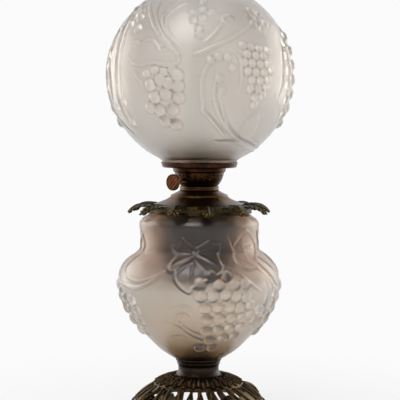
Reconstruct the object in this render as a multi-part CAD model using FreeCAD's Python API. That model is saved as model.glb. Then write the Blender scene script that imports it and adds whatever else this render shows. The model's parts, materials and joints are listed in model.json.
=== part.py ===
"""Parlor lamp: an oil lamp with a ball globe, a centre-draught burner, a lift-out font in a moulded
glass body, and a pierced cast foot. Every separate piece is a solid of its own.

Millimetres. Z is up from the floor, the lamp's axis is Z, and its front faces -Y.
An azimuth is in degrees from the front towards +X.
"""
import FreeCAD, Part
import math
import os

# Fits shared by the whole lamp
seat_gap = 0.3          # between a piece that lifts off and its seat
fit_gap = 0.15          # round a piece that is fixed in a hole
shaft_play = 0.05       # round a shaft that turns
overrun = 2.0           # how far a cut runs past what it cuts
full_turn = 360
quarter_turn = 90

# Foot: a sloping pierced skirt on four scroll legs, under a flat plate
foot_height = 66.0
foot_radius = 94.0
foot_shoulder_radius = 59.0
foot_plate_radius = 54.0
foot_plate_thickness = 4.0
foot_wall = 3.5
foot_skirt_bottom = 35.0
skirt_shares = [(0.0, 0.0), (0.20, 0.18), (0.42, 0.33), (0.63, 0.52), (0.83, 0.76), (1.0, 1.0)]
leg_count = 4
leg_azimuth = 32.0
leg_width = 32.0
leg_reach = 106.0
leg_root_radius = 72.0
leg_front_shares = [(0.0, 0.85), (0.24, 0.84), (0.53, 0.75), (0.74, 0.59), (0.71, 0.42), (0.59, 0.27),
                    (0.71, 0.14), (1.0, 0.06), (0.94, 0.0)]
leg_back_shares = [(0.27, 0.0), (0.15, 0.21), (0.21, 0.43), (0.32, 0.64), (0.18, 0.76), (0.0, 0.80)]
slot_width = 8.0
slot_top = 61.5
slot_bottom = 47.5
slot_count = 28

# Leaf collar on the foot, and the spun stem over it
leaf_collar_height = 7.0
leaf_collar_radius = 59.0
leaf_collar_wall = 3.0
leaf_collar_shares = [(0.0, 1.0), (0.50, 1.0), (0.72, 0.80), (0.88, 0.43), (1.0, 0.0)]
collar_lobe_count = 20
collar_lobe_radius = 3.0
stem_height = 18.0
stem_radius = 31.5
stem_waist = 28.6
stem_wall = 1.5
stem_bead = 2.5
stem_curve_shares = [(0.0, 0.35), (0.35, 0.0), (0.75, 0.15), (1.0, 0.45)]
cup_height = 5.0
cup_wall = 2.5
cup_floor = 2.0

# Tie tube: a hollow threaded tube that clamps foot, stem and glass, and lets the draught in
tie_radius = 12.0
tie_bore = 9.0
tie_end = 2.0           # how far it shows past each nut
nut_height = 7.0
nut_flats = 34.0
nut_sides = 6
washer_radius = 21.0
washer_thickness = 1.5

# Glass body, sizes of its smooth wall
gasket_thickness = 1.0
body_bottom_radius = 32.0
body_height = 208.0
body_radius = 110.5
body_wall = 4.0
body_floor = 4.2
body_neck_radius = 66.5
body_neck_height = 4.0
# shares of the body's height up to the neck, and of its radius
body_curve_shares = [(0.0196, 0.352), (0.0588, 0.463), (0.0988, 0.548), (0.181, 0.697), (0.262, 0.822),
                     (0.345, 0.913), (0.425, 0.971), (0.505, 1.0), (0.566, 0.988), (0.607, 0.960),
                     (0.647, 0.912), (0.686, 0.842), (0.716, 0.778), (0.745, 0.741), (0.809, 0.735),
                     (0.894, 0.748), (0.916, 0.742), (0.935, 0.716), (0.952, 0.670), (0.967, 0.624)]

# Raised fruit on both glasses
grape_radius = 7.5
grape_proud = 4.5
grape_pitch = 15.3
# bunches on the front half; the back half of the mould repeats them
body_cluster_azimuths = [17.0, 77.0]
body_cluster_top = 112.0    # above the body's bottom
body_cluster_rows = [3, 4, 4, 4, 3, 2]
globe_cluster_azimuths = [-26.0, 37.0, 82.0]
globe_cluster_top = 24.0    # above the globe's centre
globe_cluster_rows = [3, 4, 3, 2, 1]
vine_azimuth = 4.0
vine_count = 6
mould_halves = 2
vine_radius = 4.0
vine_proud = 4.0
vine_height = 34.0

# Crown: a cast ring of leaves cemented on the glass with plaster
plaster_thickness = 1.0
crown_radius = 74.0
crown_skirt = 6.5
crown_wall = 2.5
crown_web = 3.0
crown_bore = 57.0
crown_rim_height = 2.2
leaf_count = 12
leaf_azimuth = 8.0
leaf_reach = 98.5
leaf_root_radius = 66.0
leaf_root_width = 22.0
leaf_tip_width = 4.0
leaf_thickness = 2.4
leaf_drop = 12.0
leaf_curve_shares = [(0.0, 0.0), (0.58, 0.06), (0.86, 0.38), (1.0, 1.0)]

# Font: the oil tank that lifts out of the crown
sheet = 1.2             # brass sheet of the tank and the burner
font_radius = 55.0
font_depth = 103.0
font_step_depth = 74.0
font_foot_radius = 50.0
font_foot_round = 12.0
font_flange_radius = 61.5
dome_height = 19.5
dome_top_radius = 27.6
dome_curve_shares = [(1.0, 0.0), (0.84, 0.13), (0.58, 0.36), (0.37, 0.56), (0.27, 0.72), (0.14, 0.85),
                     (0.0, 1.0)]
dome_bead_radius = 38.0
dome_bead_size = 1.4
filler_azimuth = 170.0
filler_distance = 48.0
filler_radius = 6.0
filler_wall = 1.0
filler_height = 14.5
cap_wall = 1.5
cap_height = 5.5
cap_knob_radius = 3.0
cap_knob_height = 3.0
cap_gasket = 1.0

# Draught tube, round wick and wick tube
draft_radius = 14.0
draft_wall = 0.8
draft_drop = 5.0            # below the tank
draft_rise = 15.5           # above the burner's ledge
wick_thickness = 2.7
wick_proud = 1.0            # above the draught tube
wick_length = 123.0
carrier_wall = 0.8
carrier_height = 17.0
lug_height_share = 0.5
wick_tube_wall = 0.8
wick_tube_rise = 14.5       # above the burner's ledge
wick_tube_length = 90.0
wick_lift_up = 8.0
wick_lift_down = 12.0

# Burner
collar_height = 7.0
collar_radius = 26.3
collar_wall = 0.9
bowl_height = 20.0
bowl_radius = 36.3
bowl_curve_shares = [(0.0, 0.0), (0.17, 0.12), (0.66, 0.40), (0.84, 0.68), (0.99, 0.95), (1.0, 1.0)]
bowl_rim_radius = 34.6
bowl_rim_height = 5.0
vent_count = 24
vent_radius = 1.5
vent_rows_shares = [0.50, 0.74]
gallery_bore = 27.0
gallery_thickness = 1.0
prong_count = 8
prong_width = 9.0
prong_height = 8.0
prong_thickness = 0.8

# Wick raiser
raiser_azimuth = -40.0
raiser_height = 13.2        # of the shaft above the dome's top
shaft_radius = 1.6
wheel_distance = 53.5
wheel_radius = 11.4
wheel_thickness = 4.0
wheel_dish_radius = 8.0
wheel_dish_depth = 0.9
knurl_count = 30
knurl_radius = 0.8
bushing_wall = 1.5
bushing_start = 29.0
bushing_length = 12.0
pinion_teeth = 10
pinion_pitch_radius = 4.0
pinion_width = 2.6
tooth_addendum = 0.5
tooth_dedendum = 0.8
tooth_root = 1.1            # thickness at the foot of a tooth
tooth_tip = 0.6             # thickness at its top
rack_back = 2.6

# Flame spreader and chimney
spreader_radius = 13.8
spreader_wall = 0.8
spreader_height = 11.0
spreader_depth = 12.0
spreader_cap_radius = 17.0
spreader_cap_height = 4.0
spreader_hole_radius = 1.1
spreader_holes = 18
spreader_hole_rows = 3
chimney_height = 254.0
chimney_radius = 32.0
chimney_wall = 1.8
chimney_curve_shares = [(0.0, 1.0), (0.07, 1.0), (0.15, 1.06), (0.26, 0.98), (0.42, 0.80), (0.62, 0.70),
                        (1.0, 0.66)]

# Shade ring and ball globe
shade_ring_radius = 53.0
shade_ring_wall = 1.4
shade_ring_height = 7.5
shade_ring_web = 1.2
shade_hub_wall = 1.7
shade_window_count = 3
shade_window_angle = 88
shade_window_margin = 3.0
globe_radius = 127.0
globe_wall = 3.2
fitter_radius = 51.0
fitter_height = 9.0
fitter_flare_radius = 64.0
fitter_flare_share = 0.42
globe_top_radius = 57.0

# Heights of the stack, each from the piece below
collar_top = foot_height + leaf_collar_height
stem_top = collar_top + stem_height
cup_top = stem_top + cup_height
glass_bottom = cup_top + gasket_thickness
glass_top = glass_bottom + body_height
crown_seat = glass_top + plaster_thickness + crown_web
font_seat = crown_seat + seat_gap
dome_bottom = font_seat + sheet
dome_top = dome_bottom + dome_height
bowl_bottom = dome_top + collar_height
bowl_ledge = bowl_bottom + bowl_height
bowl_top = bowl_ledge + bowl_rim_height
font_bottom = font_seat - font_depth
draft_top = bowl_ledge + draft_rise
wick_tube_top = bowl_ledge + wick_tube_rise
raiser_z = dome_top + raiser_height
ring_bottom = bowl_ledge + seat_gap
web_top = bowl_top + shade_ring_web
ring_top = web_top - shade_ring_web + shade_ring_height
fitter_bottom = web_top + seat_gap
fitter_top = fitter_bottom + fitter_height
globe_centre = fitter_top + math.sqrt(globe_radius ** 2 - fitter_radius ** 2)
globe_top = globe_centre + math.sqrt(globe_radius ** 2 - globe_top_radius ** 2)
chimney_bottom = bowl_ledge + gallery_thickness + seat_gap

# Radii that follow from the fits
wick_inside = draft_radius + seat_gap
wick_outside = wick_inside + wick_thickness
carrier_inside = wick_outside + fit_gap
carrier_outside = carrier_inside + carrier_wall
wick_tube_inside = carrier_outside + seat_gap
wick_tube_outside = wick_tube_inside + wick_tube_wall
neck_outside = collar_radius - collar_wall - fit_gap
neck_inside = neck_outside - sheet
tie_hole = tie_radius + fit_gap
pinion_start = wick_tube_outside + seat_gap

axis = FreeCAD.Vector(0, 0, 1)
origin = FreeCAD.Vector(0, 0, 0)


def at(radius, height):
    """A point of an outline, in the plane that is revolved."""
    return FreeCAD.Vector(radius, 0, height)


def lines(points):
    """Straight edges through the points."""
    return [Part.LineSegment(a, b).toShape() for a, b in zip(points, points[1:])]


def curve(points):
    """One smooth edge through the points."""
    spline = Part.BSplineCurve()
    spline.interpolate(points)
    return spline.toShape()


def lathe(edges):
    """The solid of revolution of a closed outline."""
    face = Part.Face(Part.Wire(Part.__sortEdges__(edges)))
    return face.revolve(origin, axis, full_turn)


def turned(points):
    """The solid of revolution of a straight-sided outline."""
    return lathe(lines(points + points[:1]))


def ring(inside, outside, bottom, top):
    """A flat-ended ring, or a disc where inside is 0."""
    return turned([at(inside, bottom), at(outside, bottom), at(outside, top), at(inside, top)])


def inset(points, wall):
    """The points moved by wall to the left of the way that they run."""
    moved = []
    last = len(points) - 1
    for i, p in enumerate(points):
        along = points[min(i + 1, last)] - points[max(i - 1, 0)]
        normal = FreeCAD.Vector(-along.z, 0, along.x).normalize()
        moved.append(p + normal * wall)
    return moved


def spun(points, wall):
    """A spun shell: the outer face runs through the points, with the metal to their left."""
    inner = inset(points, wall)
    ends = lines([points[0], inner[0]]) + lines([points[-1], inner[-1]])
    return lathe([curve(points), curve(inner)] + ends)


def around(shape, azimuth):
    """The shape, made at the front (-Y), turned to the azimuth."""
    copy = shape.copy()
    copy.rotate(origin, axis, azimuth)
    return copy


def front_prism(points, depth_from, depth_to):
    """An outline of (x, z) points, extruded towards the front between two distances from the axis."""
    corners = [FreeCAD.Vector(x, -depth_from, z) for x, z in points]
    face = Part.Face(Part.makePolygon(corners + corners[:1]))
    return face.extrude(FreeCAD.Vector(0, depth_from - depth_to, 0))


def front_box(width, depth_from, depth_to, bottom, top):
    """A box at the front, between two distances from the axis."""
    half = width / 2
    return front_prism([(-half, bottom), (half, bottom), (half, top), (-half, top)], depth_from, depth_to)


def front_pin(radius, depth_from, depth_to, height):
    """A cylinder at the front, pointing at the axis."""
    start = FreeCAD.Vector(0, -depth_from, height)
    return Part.makeCylinder(radius, depth_to - depth_from, start, FreeCAD.Vector(0, -1, 0))


def hexagon(flats, bottom, height):
    """A six-sided prism with the given width across its flats."""
    corner = flats / 2 / math.cos(math.pi / nut_sides)
    turns = [2 * math.pi * i / nut_sides for i in range(nut_sides + 1)]
    points = [FreeCAD.Vector(corner * math.cos(t), corner * math.sin(t), bottom) for t in turns]
    return Part.Face(Part.makePolygon(points)).extrude(FreeCAD.Vector(0, 0, height))


def shared(shares, x_from, x_to, z_from, z_to):
    """Outline points from shares of two spans."""
    return [at(x_from + (x_to - x_from) * a, z_from + (z_to - z_from) * b) for a, b in shares]


def foot_leg():
    """One scroll leg at the front: an S-shaped rib that ends in a toe on the floor."""
    outer = shared(leg_front_shares, leg_root_radius, leg_reach, 0, foot_height)
    inner = shared(leg_back_shares, leg_root_radius, leg_reach, 0, foot_height)
    edges = [curve(outer), curve(inner)] + lines([outer[-1], inner[0]]) + lines([inner[-1], outer[0]])
    face = Part.Face(Part.Wire(Part.__sortEdges__(edges)))
    rib = face.extrude(FreeCAD.Vector(0, leg_width, 0))
    rib.translate(FreeCAD.Vector(0, -leg_width / 2, 0))
    rib.rotate(origin, axis, -quarter_turn)
    return rib


def foot_slot():
    """One upright slot with round ends, cut through the skirt at the front."""
    half = slot_width / 2
    low, high = slot_bottom + half, slot_top - half

    def spot(side, height):
        return FreeCAD.Vector(side, -foot_plate_radius, height)

    edges = [Part.makeLine(spot(side, low), spot(side, high)) for side in (-half, half)]
    edges.append(Part.Arc(spot(-half, high), spot(0, slot_top), spot(half, high)).toShape())
    edges.append(Part.Arc(spot(-half, low), spot(0, slot_bottom), spot(half, low)).toShape())
    face = Part.Face(Part.Wire(Part.__sortEdges__(edges)))
    return face.extrude(FreeCAD.Vector(0, foot_plate_radius - foot_radius - overrun, 0))


def foot_casting():
    plate = ring(tie_hole, foot_plate_radius, foot_height - foot_plate_thickness, foot_height)
    shoulder = ring(foot_plate_radius, foot_shoulder_radius, foot_height - foot_wall, foot_height)
    outline = shared(skirt_shares, foot_shoulder_radius, foot_radius, foot_height, foot_skirt_bottom)
    skirt = spun(outline[::-1], foot_wall)
    foot = plate.multiFuse([shoulder, skirt])
    slots = [around(foot_slot(), full_turn * i / slot_count) for i in range(slot_count)]
    foot = foot.cut(Part.makeCompound(slots))
    legs = [around(foot_leg(), leg_azimuth + full_turn * i / leg_count) for i in range(leg_count)]
    return foot.multiFuse(legs)


def leaf_collar():
    outline = shared(leaf_collar_shares, stem_waist, leaf_collar_radius, foot_height, collar_top)
    shell = spun(outline[::-1], leaf_collar_wall)
    lobes = []
    for i in range(collar_lobe_count):
        middle = at(leaf_collar_radius - collar_lobe_radius, foot_height + collar_lobe_radius)
        lobes.append(around(Part.makeSphere(collar_lobe_radius, middle), full_turn * i / collar_lobe_count))
    rim = ring(0, leaf_collar_radius + overrun, foot_height, collar_top)
    inside = leaf_collar_radius - leaf_collar_wall
    hollow = ring(0, inside, foot_height - overrun, foot_height + leaf_collar_wall)
    return shell.multiFuse(lobes).common(rim).cut(hollow)


def stem_collar():
    low = collar_top + stem_bead
    outline = [at(stem_radius, collar_top), at(stem_radius, low)]
    span = stem_radius - stem_waist
    neck = [at(stem_waist + span * b, low + (stem_top - low) * a) for a, b in stem_curve_shares]
    inside = stem_waist - stem_wall
    edges = lines(outline + [neck[0]]) + [curve(neck)]
    edges += lines([neck[-1], at(inside, stem_top), at(inside, collar_top), outline[0]])
    return lathe(edges)


def glass_cup():
    outside = stem_waist + (stem_radius - stem_waist) * stem_curve_shares[-1][1]
    lip = body_bottom_radius
    return turned([at(tie_hole, cup_top - cup_floor), at(outside - cup_wall, cup_top - cup_floor),
                   at(outside - cup_wall, stem_top), at(outside, stem_top), at(lip, cup_top),
                   at(tie_hole, cup_top)])


def tie_tube():
    bottom = foot_height - foot_plate_thickness - washer_thickness - nut_height - tie_end
    top = glass_bottom + body_floor + gasket_thickness + washer_thickness + nut_height + tie_end
    return ring(tie_bore, tie_radius, bottom, top)


def nut(bottom):
    bore = Part.makeCylinder(tie_hole, nut_height + overrun * 2, at(0, bottom - overrun))
    return hexagon(nut_flats, bottom, nut_height).cut(bore)


def bottom_washer():
    top = foot_height - foot_plate_thickness
    return ring(tie_hole, washer_radius, top - washer_thickness, top)


def bottom_nut():
    return nut(foot_height - foot_plate_thickness - washer_thickness - nut_height)


def seat_gasket():
    return ring(tie_hole, body_bottom_radius - gasket_thickness, cup_top, glass_bottom)


def top_gasket():
    bottom = glass_bottom + body_floor
    return ring(tie_hole, washer_radius, bottom, bottom + gasket_thickness)


def top_washer():
    bottom = glass_bottom + body_floor + gasket_thickness
    return ring(tie_hole, washer_radius, bottom, bottom + washer_thickness)


def top_nut():
    return nut(glass_bottom + body_floor + gasket_thickness + washer_thickness)


def body_radius_at(height):
    """The smooth outer radius of the glass body at a height above its bottom."""
    share = height / body_height
    for (low, r_low), (high, r_high) in zip(body_curve_shares, body_curve_shares[1:]):
        if low <= share <= high:
            return body_radius * (r_low + (r_high - r_low) * (share - low) / (high - low))
    return body_bottom_radius


def grapes(rows, top, radius_at, height_at, azimuths):
    """The spheres of every bunch. Row by row, each is sunk so that only its cap is proud."""
    bunch = []
    for row, count in enumerate(rows):
        height = top - row * grape_pitch
        reach = radius_at(height) + grape_proud - grape_radius
        for i in range(count):
            turn = math.degrees(grape_pitch * (i - (count - 1) / 2) / reach)
            middle = FreeCAD.Vector(0, -reach, height_at(height))
            bunch.append(around(Part.makeSphere(grape_radius, middle), turn))
    halves = [full_turn * i / mould_halves for i in range(mould_halves)]
    turns = [azimuth + half for azimuth in azimuths for half in halves]
    return [around(fruit, turn) for turn in turns for fruit in bunch]


def glass_body():
    """The moulded body: outside with its fruit, cut by the hollow that follows the smooth wall."""
    outer = [at(body_bottom_radius, glass_bottom)]
    outer += [at(body_radius * r, glass_bottom + body_height * h) for h, r in body_curve_shares]
    neck = at(body_neck_radius, glass_top - body_neck_height)
    outer.append(neck)
    outline = [curve(outer)] + lines([neck, at(body_neck_radius, glass_top), at(0, glass_top)])
    outline += lines([at(0, glass_top), at(0, glass_bottom), outer[0]])
    # turned so that the seam of the wall lies between two bunches
    whole = around(lathe(outline), quarter_turn / 2)
    whole = whole.multiFuse(grapes(body_cluster_rows, body_cluster_top, body_radius_at,
                                   lambda h: glass_bottom + h, body_cluster_azimuths))
    inner = inset(outer, body_wall)
    inner = inner[2:-1] + [at(body_neck_radius - body_wall, neck.z)]
    floor = glass_bottom + body_floor
    base = at(body_bottom_radius - body_wall, floor)
    above = glass_top + overrun
    mouth = at(body_neck_radius - body_wall, above)
    hollow = [curve([base] + inner)] + lines([inner[-1], mouth, at(0, above), at(0, floor), base])
    hole = Part.makeCylinder(tie_hole, body_floor + overrun * 2, at(0, glass_bottom - overrun))
    return whole.cut(lathe(hollow)).cut(hole)


def crown_plaster():
    """Plaster between the glass neck and the crown, down to the crown's lower edge."""
    outside = crown_radius - crown_wall
    bottom = crown_seat - crown_web - crown_skirt + plaster_thickness
    neck_low = glass_top - body_neck_height
    inside = body_neck_radius + fit_gap
    top = crown_seat - crown_web
    mouth = body_neck_radius - body_wall
    return turned([at(inside, neck_low), at(outside, bottom), at(outside, top), at(mouth, top),
                   at(mouth, glass_top), at(inside, glass_top)])


def crown_leaf():
    """One drooping leaf at +X, from its side outline and its plan outline."""
    start = crown_seat + crown_rim_height
    outer = shared(leaf_curve_shares, leaf_root_radius, leaf_reach, start, start - leaf_drop)
    inner = [p - FreeCAD.Vector(0, 0, leaf_thickness) for p in outer[:-1]]
    inner[0] = at(leaf_root_radius, start - leaf_thickness)
    tip = at(leaf_reach - leaf_tip_width / 2, start - leaf_drop)
    edges = [curve(outer), curve(inner + [tip])] + lines([outer[0], inner[0]]) + lines([outer[-1], tip])
    side = Part.Face(Part.Wire(Part.__sortEdges__(edges)))
    slab = side.extrude(FreeCAD.Vector(0, leaf_root_width, 0))
    slab.translate(FreeCAD.Vector(0, -leaf_root_width / 2, 0))
    root = leaf_root_width / 2
    point = leaf_tip_width / 2
    low = start - leaf_drop - overrun
    waist = (leaf_root_radius + leaf_reach) / 2
    plan = [(leaf_root_radius - overrun, -root), (waist, -root), (leaf_reach + overrun, -point),
            (leaf_reach + overrun, point), (waist, root), (leaf_root_radius - overrun, root)]
    corners = [FreeCAD.Vector(x, y, low) for x, y in plan]
    wedge = Part.Face(Part.makePolygon(corners + corners[:1]))
    wedge = wedge.extrude(FreeCAD.Vector(0, 0, leaf_drop + overrun * 2))
    leaf = slab.common(wedge)
    leaf.rotate(origin, axis, -quarter_turn)
    return leaf


def crown_ring():
    top = crown_seat + crown_rim_height
    recess = font_flange_radius + seat_gap
    low = crown_seat - crown_web
    skirt_low = low - crown_skirt
    inside = crown_radius - crown_wall
    body = turned([at(crown_bore, low), at(inside, low), at(inside, skirt_low), at(crown_radius, skirt_low),
                   at(crown_radius, top), at(recess, top), at(recess, crown_seat),
                   at(crown_bore, crown_seat)])
    leaf = crown_leaf()
    turns = [leaf_azimuth + full_turn * i / leaf_count for i in range(leaf_count)]
    return body.multiFuse([around(leaf, turn) for turn in turns])


def font_tank():
    """The tank's pan: a flange to hang by, a stepped wall and a rounded bottom with the draught hole."""
    step = font_seat - font_step_depth
    corner = font_foot_round
    foot = font_foot_radius
    bend = math.sqrt(2) / 2
    outer_bend = at(foot - corner + corner * bend, font_bottom + corner - corner * bend)
    outer_arc = Part.Arc(at(foot, font_bottom + corner), outer_bend, at(foot - corner, font_bottom)).toShape()
    inner = corner - sheet
    inner_arc = Part.Arc(at(foot - sheet, font_bottom + corner), at(foot - corner + inner * bend, font_bottom
                         + corner - inner * bend), at(foot - corner, font_bottom + sheet)).toShape()
    hole = draft_radius + fit_gap
    slope = font_radius - foot
    edges = lines([at(font_flange_radius, font_seat), at(font_radius, font_seat),
                   at(font_radius, step + slope), at(foot, step), at(foot, font_bottom + corner)])
    edges += [outer_arc, inner_arc]
    edges += lines([at(foot - corner, font_bottom), at(hole, font_bottom), at(hole, font_bottom + sheet),
                    at(foot - corner, font_bottom + sheet)])
    edges += lines([at(foot - sheet, font_bottom + corner), at(foot - sheet, step + sheet / 2),
                    at(font_radius - sheet, step + slope + sheet / 2), at(font_radius - sheet, dome_bottom),
                    at(font_flange_radius, dome_bottom), at(font_flange_radius, font_seat)])
    return lathe(edges)


def font_dome():
    """The tank's shoulder: a flat flange, then a flared dome up to the burner's opening."""
    span = font_flange_radius - dome_top_radius
    outline = [at(dome_top_radius + span * a, dome_bottom + sheet + (dome_height - sheet) * b)
               for a, b in dome_curve_shares]
    dome = spun(outline, sheet)
    flange = ring(font_radius, font_flange_radius, dome_bottom, dome_bottom + sheet)
    top = ring(neck_inside, dome_top_radius, dome_top - sheet, dome_top)
    bead_height = dome_bottom + sheet + (dome_height - sheet) * dome_curve_shares[3][1]
    bead = Part.makeTorus(dome_bead_radius, dome_bead_size, at(0, bead_height))
    inside = font_radius - sheet
    room = turned([at(0, dome_bottom - overrun), at(inside, dome_bottom - overrun), at(inside, dome_bottom),
                   at(0, dome_top - sheet)])
    dome = dome.multiFuse([flange, top, bead.cut(room)])
    hole = Part.makeCylinder(filler_radius + fit_gap, dome_height + overrun, at(0, dome_bottom + sheet))
    hole.translate(FreeCAD.Vector(0, -filler_distance, 0))
    return dome.cut(around(hole, filler_azimuth))


def filler_top():
    return dome_bottom + sheet + filler_height


def placed_at_filler(shape):
    """A shape made on the axis, moved to the filler."""
    moved = shape.copy()
    moved.translate(FreeCAD.Vector(0, -filler_distance, 0))
    return around(moved, filler_azimuth)


def filler_neck():
    inside = filler_radius - filler_wall
    return placed_at_filler(ring(inside, filler_radius, dome_bottom + sheet, filler_top()))


def filler_cap():
    inside = filler_radius + seat_gap
    outside = inside + cap_wall
    roof = filler_top() + seat_gap + cap_gasket
    bottom = roof + cap_wall - cap_height
    body = turned([at(inside, bottom), at(outside, bottom), at(outside, roof + cap_wall),
                   at(0, roof + cap_wall), at(0, roof), at(inside, roof)])
    knob = Part.makeCylinder(cap_knob_radius, cap_knob_height, at(0, roof + cap_wall))
    return placed_at_filler(body.fuse(knob))


def filler_gasket():
    bottom = filler_top() + seat_gap
    return placed_at_filler(ring(0, filler_radius, bottom, bottom + cap_gasket))


def draft_tube():
    return ring(draft_radius - draft_wall, draft_radius, font_bottom - draft_drop, draft_top)


def rack_box(depth_from, depth_to, side_from, side_to, bottom, top):
    """A box beside the pinion, turned to the raiser. Sides are distances from the shaft's line."""
    corners = [(side_from, bottom), (side_to, bottom), (side_to, top), (side_from, top)]
    return around(front_prism(corners, depth_from, depth_to), raiser_azimuth)


def rack_sides():
    """The rack's near face, at the roots of its teeth, and its back."""
    near = pinion_pitch_radius + tooth_dedendum
    return near, near + rack_back


def wick_tube():
    tube = ring(wick_tube_inside, wick_tube_outside, wick_tube_top - wick_tube_length, wick_tube_top)
    near, back = rack_sides()
    reach = carrier_height * lug_height_share / 2
    slot = rack_box(0, pinion_start + pinion_width, near - seat_gap, back + seat_gap * 2,
                    raiser_z - reach - wick_lift_down - seat_gap, raiser_z + reach + wick_lift_up + seat_gap)
    return tube.cut(slot)


def wick():
    top = draft_top + wick_proud
    return ring(wick_inside, wick_outside, top - wick_length, top)


def wick_carrier():
    """The sleeve that grips the wick, with a lug through the wick tube's slot and the toothed rack."""
    half = carrier_height / 2
    sleeve = ring(carrier_inside, carrier_outside, raiser_z - half, raiser_z + half)
    near, back = rack_sides()
    pitch = 2 * math.pi * pinion_pitch_radius / pinion_teeth
    low = raiser_z - wick_lift_up - pitch
    high = raiser_z + wick_lift_down + pitch
    end = pinion_start + pinion_width
    inner_edge = math.sqrt(carrier_outside ** 2 - back ** 2) - carrier_wall
    bar = rack_box(pinion_start, end, near, back, low, high)
    reach = carrier_height * lug_height_share / 2
    lug = rack_box(inner_edge, end, near, back, raiser_z - reach, raiser_z + reach)
    lug = lug.cut(ring(0, carrier_inside, low, high))
    teeth = []
    first = math.ceil((low - raiser_z + tooth_root) / pitch - 1 / 2)
    last = math.floor((high - raiser_z - tooth_root) / pitch - 1 / 2)
    for i in range(first, last + 1):
        z = raiser_z + (i + 1 / 2) * pitch
        tip = pinion_pitch_radius - tooth_addendum
        points = [(near, z - tooth_root / 2), (near, z + tooth_root / 2), (tip, z + tooth_tip / 2),
                  (tip, z - tooth_tip / 2)]
        teeth.append(around(front_prism(points, pinion_start, end), raiser_azimuth))
    return sleeve.multiFuse([bar, lug] + teeth)


def wick_pinion():
    root = pinion_pitch_radius - tooth_dedendum
    tip = pinion_pitch_radius + tooth_addendum
    end = pinion_start + pinion_width
    core = front_pin(root, pinion_start, end, 0)
    sunk = root - tooth_tip / 2
    points = [(sunk, -tooth_root / 2), (tip, -tooth_tip / 2), (tip, tooth_tip / 2), (sunk, tooth_root / 2)]
    tooth = front_prism(points, pinion_start, end)
    teeth = []
    for i in range(pinion_teeth):
        copy = tooth.copy()
        copy.rotate(origin, FreeCAD.Vector(0, -1, 0), full_turn * i / pinion_teeth)
        teeth.append(copy)
    gear = core.multiFuse(teeth).cut(front_pin(shaft_radius, pinion_start - overrun, end + overrun, 0))
    gear.translate(FreeCAD.Vector(0, 0, raiser_z))
    return around(gear, raiser_azimuth)


def wick_shaft():
    end = wheel_distance + wheel_thickness / 2
    return around(front_pin(shaft_radius, pinion_start, end, raiser_z), raiser_azimuth)


def shaft_bushing():
    tube = front_pin(shaft_radius + bushing_wall, bushing_start, bushing_start + bushing_length, raiser_z)
    end = bushing_start + bushing_length
    bore = front_pin(shaft_radius + shaft_play, bushing_start - overrun, end + overrun, raiser_z)
    return around(tube.cut(bore), raiser_azimuth)


def wick_wheel():
    """The knurled wheel, with a shallow dish in its face."""
    end = wheel_distance + wheel_thickness
    wheel = front_pin(wheel_radius, wheel_distance, end, raiser_z)
    dish = front_pin(wheel_dish_radius, end - wheel_dish_depth, end + overrun, raiser_z)
    boss = front_pin(shaft_radius * 2, end - wheel_dish_depth * 2, end, raiser_z)
    shaft_end = wheel_distance + wheel_thickness / 2
    cuts = [dish, front_pin(shaft_radius, wheel_distance - overrun, shaft_end, raiser_z)]
    for i in range(knurl_count):
        turn = 2 * math.pi * i / knurl_count
        notch = front_pin(knurl_radius, wheel_distance - overrun, end + overrun, raiser_z)
        notch.translate(FreeCAD.Vector(wheel_radius * math.sin(turn), 0, wheel_radius * math.cos(turn)))
        cuts.append(notch)
    return around(wheel.cut(Part.makeCompound(cuts)).fuse(boss), raiser_azimuth)


def burner_collar():
    """The threaded collar soldered on the dome."""
    return ring(collar_radius - collar_wall, collar_radius, dome_top, bowl_bottom)


def burner_bowl():
    """The burner's basket: a neck in the collar, a floor round the wick tube, and a vented bowl."""
    floor = dome_top
    neck = ring(neck_inside, neck_outside, floor, bowl_bottom + sheet)
    base = ring(wick_tube_outside + fit_gap, neck_outside, floor, floor + sheet)
    span = bowl_radius - neck_outside
    outline = [at(neck_outside + span * a, bowl_bottom + bowl_height * b) for a, b in bowl_curve_shares]
    bowl = spun(outline, sheet)
    ledge = ring(bowl_rim_radius - sheet, bowl_radius, bowl_ledge - sheet, bowl_ledge)
    rim = ring(bowl_rim_radius - sheet, bowl_rim_radius, bowl_ledge - sheet, bowl_top)
    near, back = rack_sides()
    end = pinion_start + pinion_width + seat_gap
    cuts = [rack_box(0, end, near - tooth_dedendum * 2, back + seat_gap, floor - overrun,
                     floor + sheet + overrun)]
    cuts.append(around(front_pin(shaft_radius + bushing_wall + fit_gap, neck_outside, bowl_radius + overrun,
                                 raiser_z), raiser_azimuth))
    for share in vent_rows_shares:
        for i in range(vent_count):
            height = bowl_bottom + bowl_height * share
            vent = front_pin(vent_radius, neck_outside, bowl_radius + overrun, height)
            cuts.append(around(vent, raiser_azimuth + full_turn * (i + 1 / 2) / vent_count))
    return neck.multiFuse([base, bowl, ledge, rim]).cut(Part.makeCompound(cuts))


def chimney_gallery():
    """The chimney's seat and the spring prongs round it."""
    outside = bowl_rim_radius - sheet - fit_gap
    seat = ring(gallery_bore, outside, bowl_ledge, bowl_ledge + gallery_thickness)
    wall = ring(outside - prong_thickness, outside, bowl_ledge, bowl_ledge + prong_height)
    prongs = []
    for i in range(prong_count):
        keep = front_box(prong_width, 0, bowl_radius, bowl_ledge, bowl_ledge + prong_height)
        prongs.append(wall.common(around(keep, full_turn * i / prong_count)))
    hub = ring(gallery_bore, gallery_bore + gallery_thickness, bowl_ledge - sheet,
               bowl_ledge + prong_height / 2)
    return seat.multiFuse(prongs + [hub])


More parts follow.
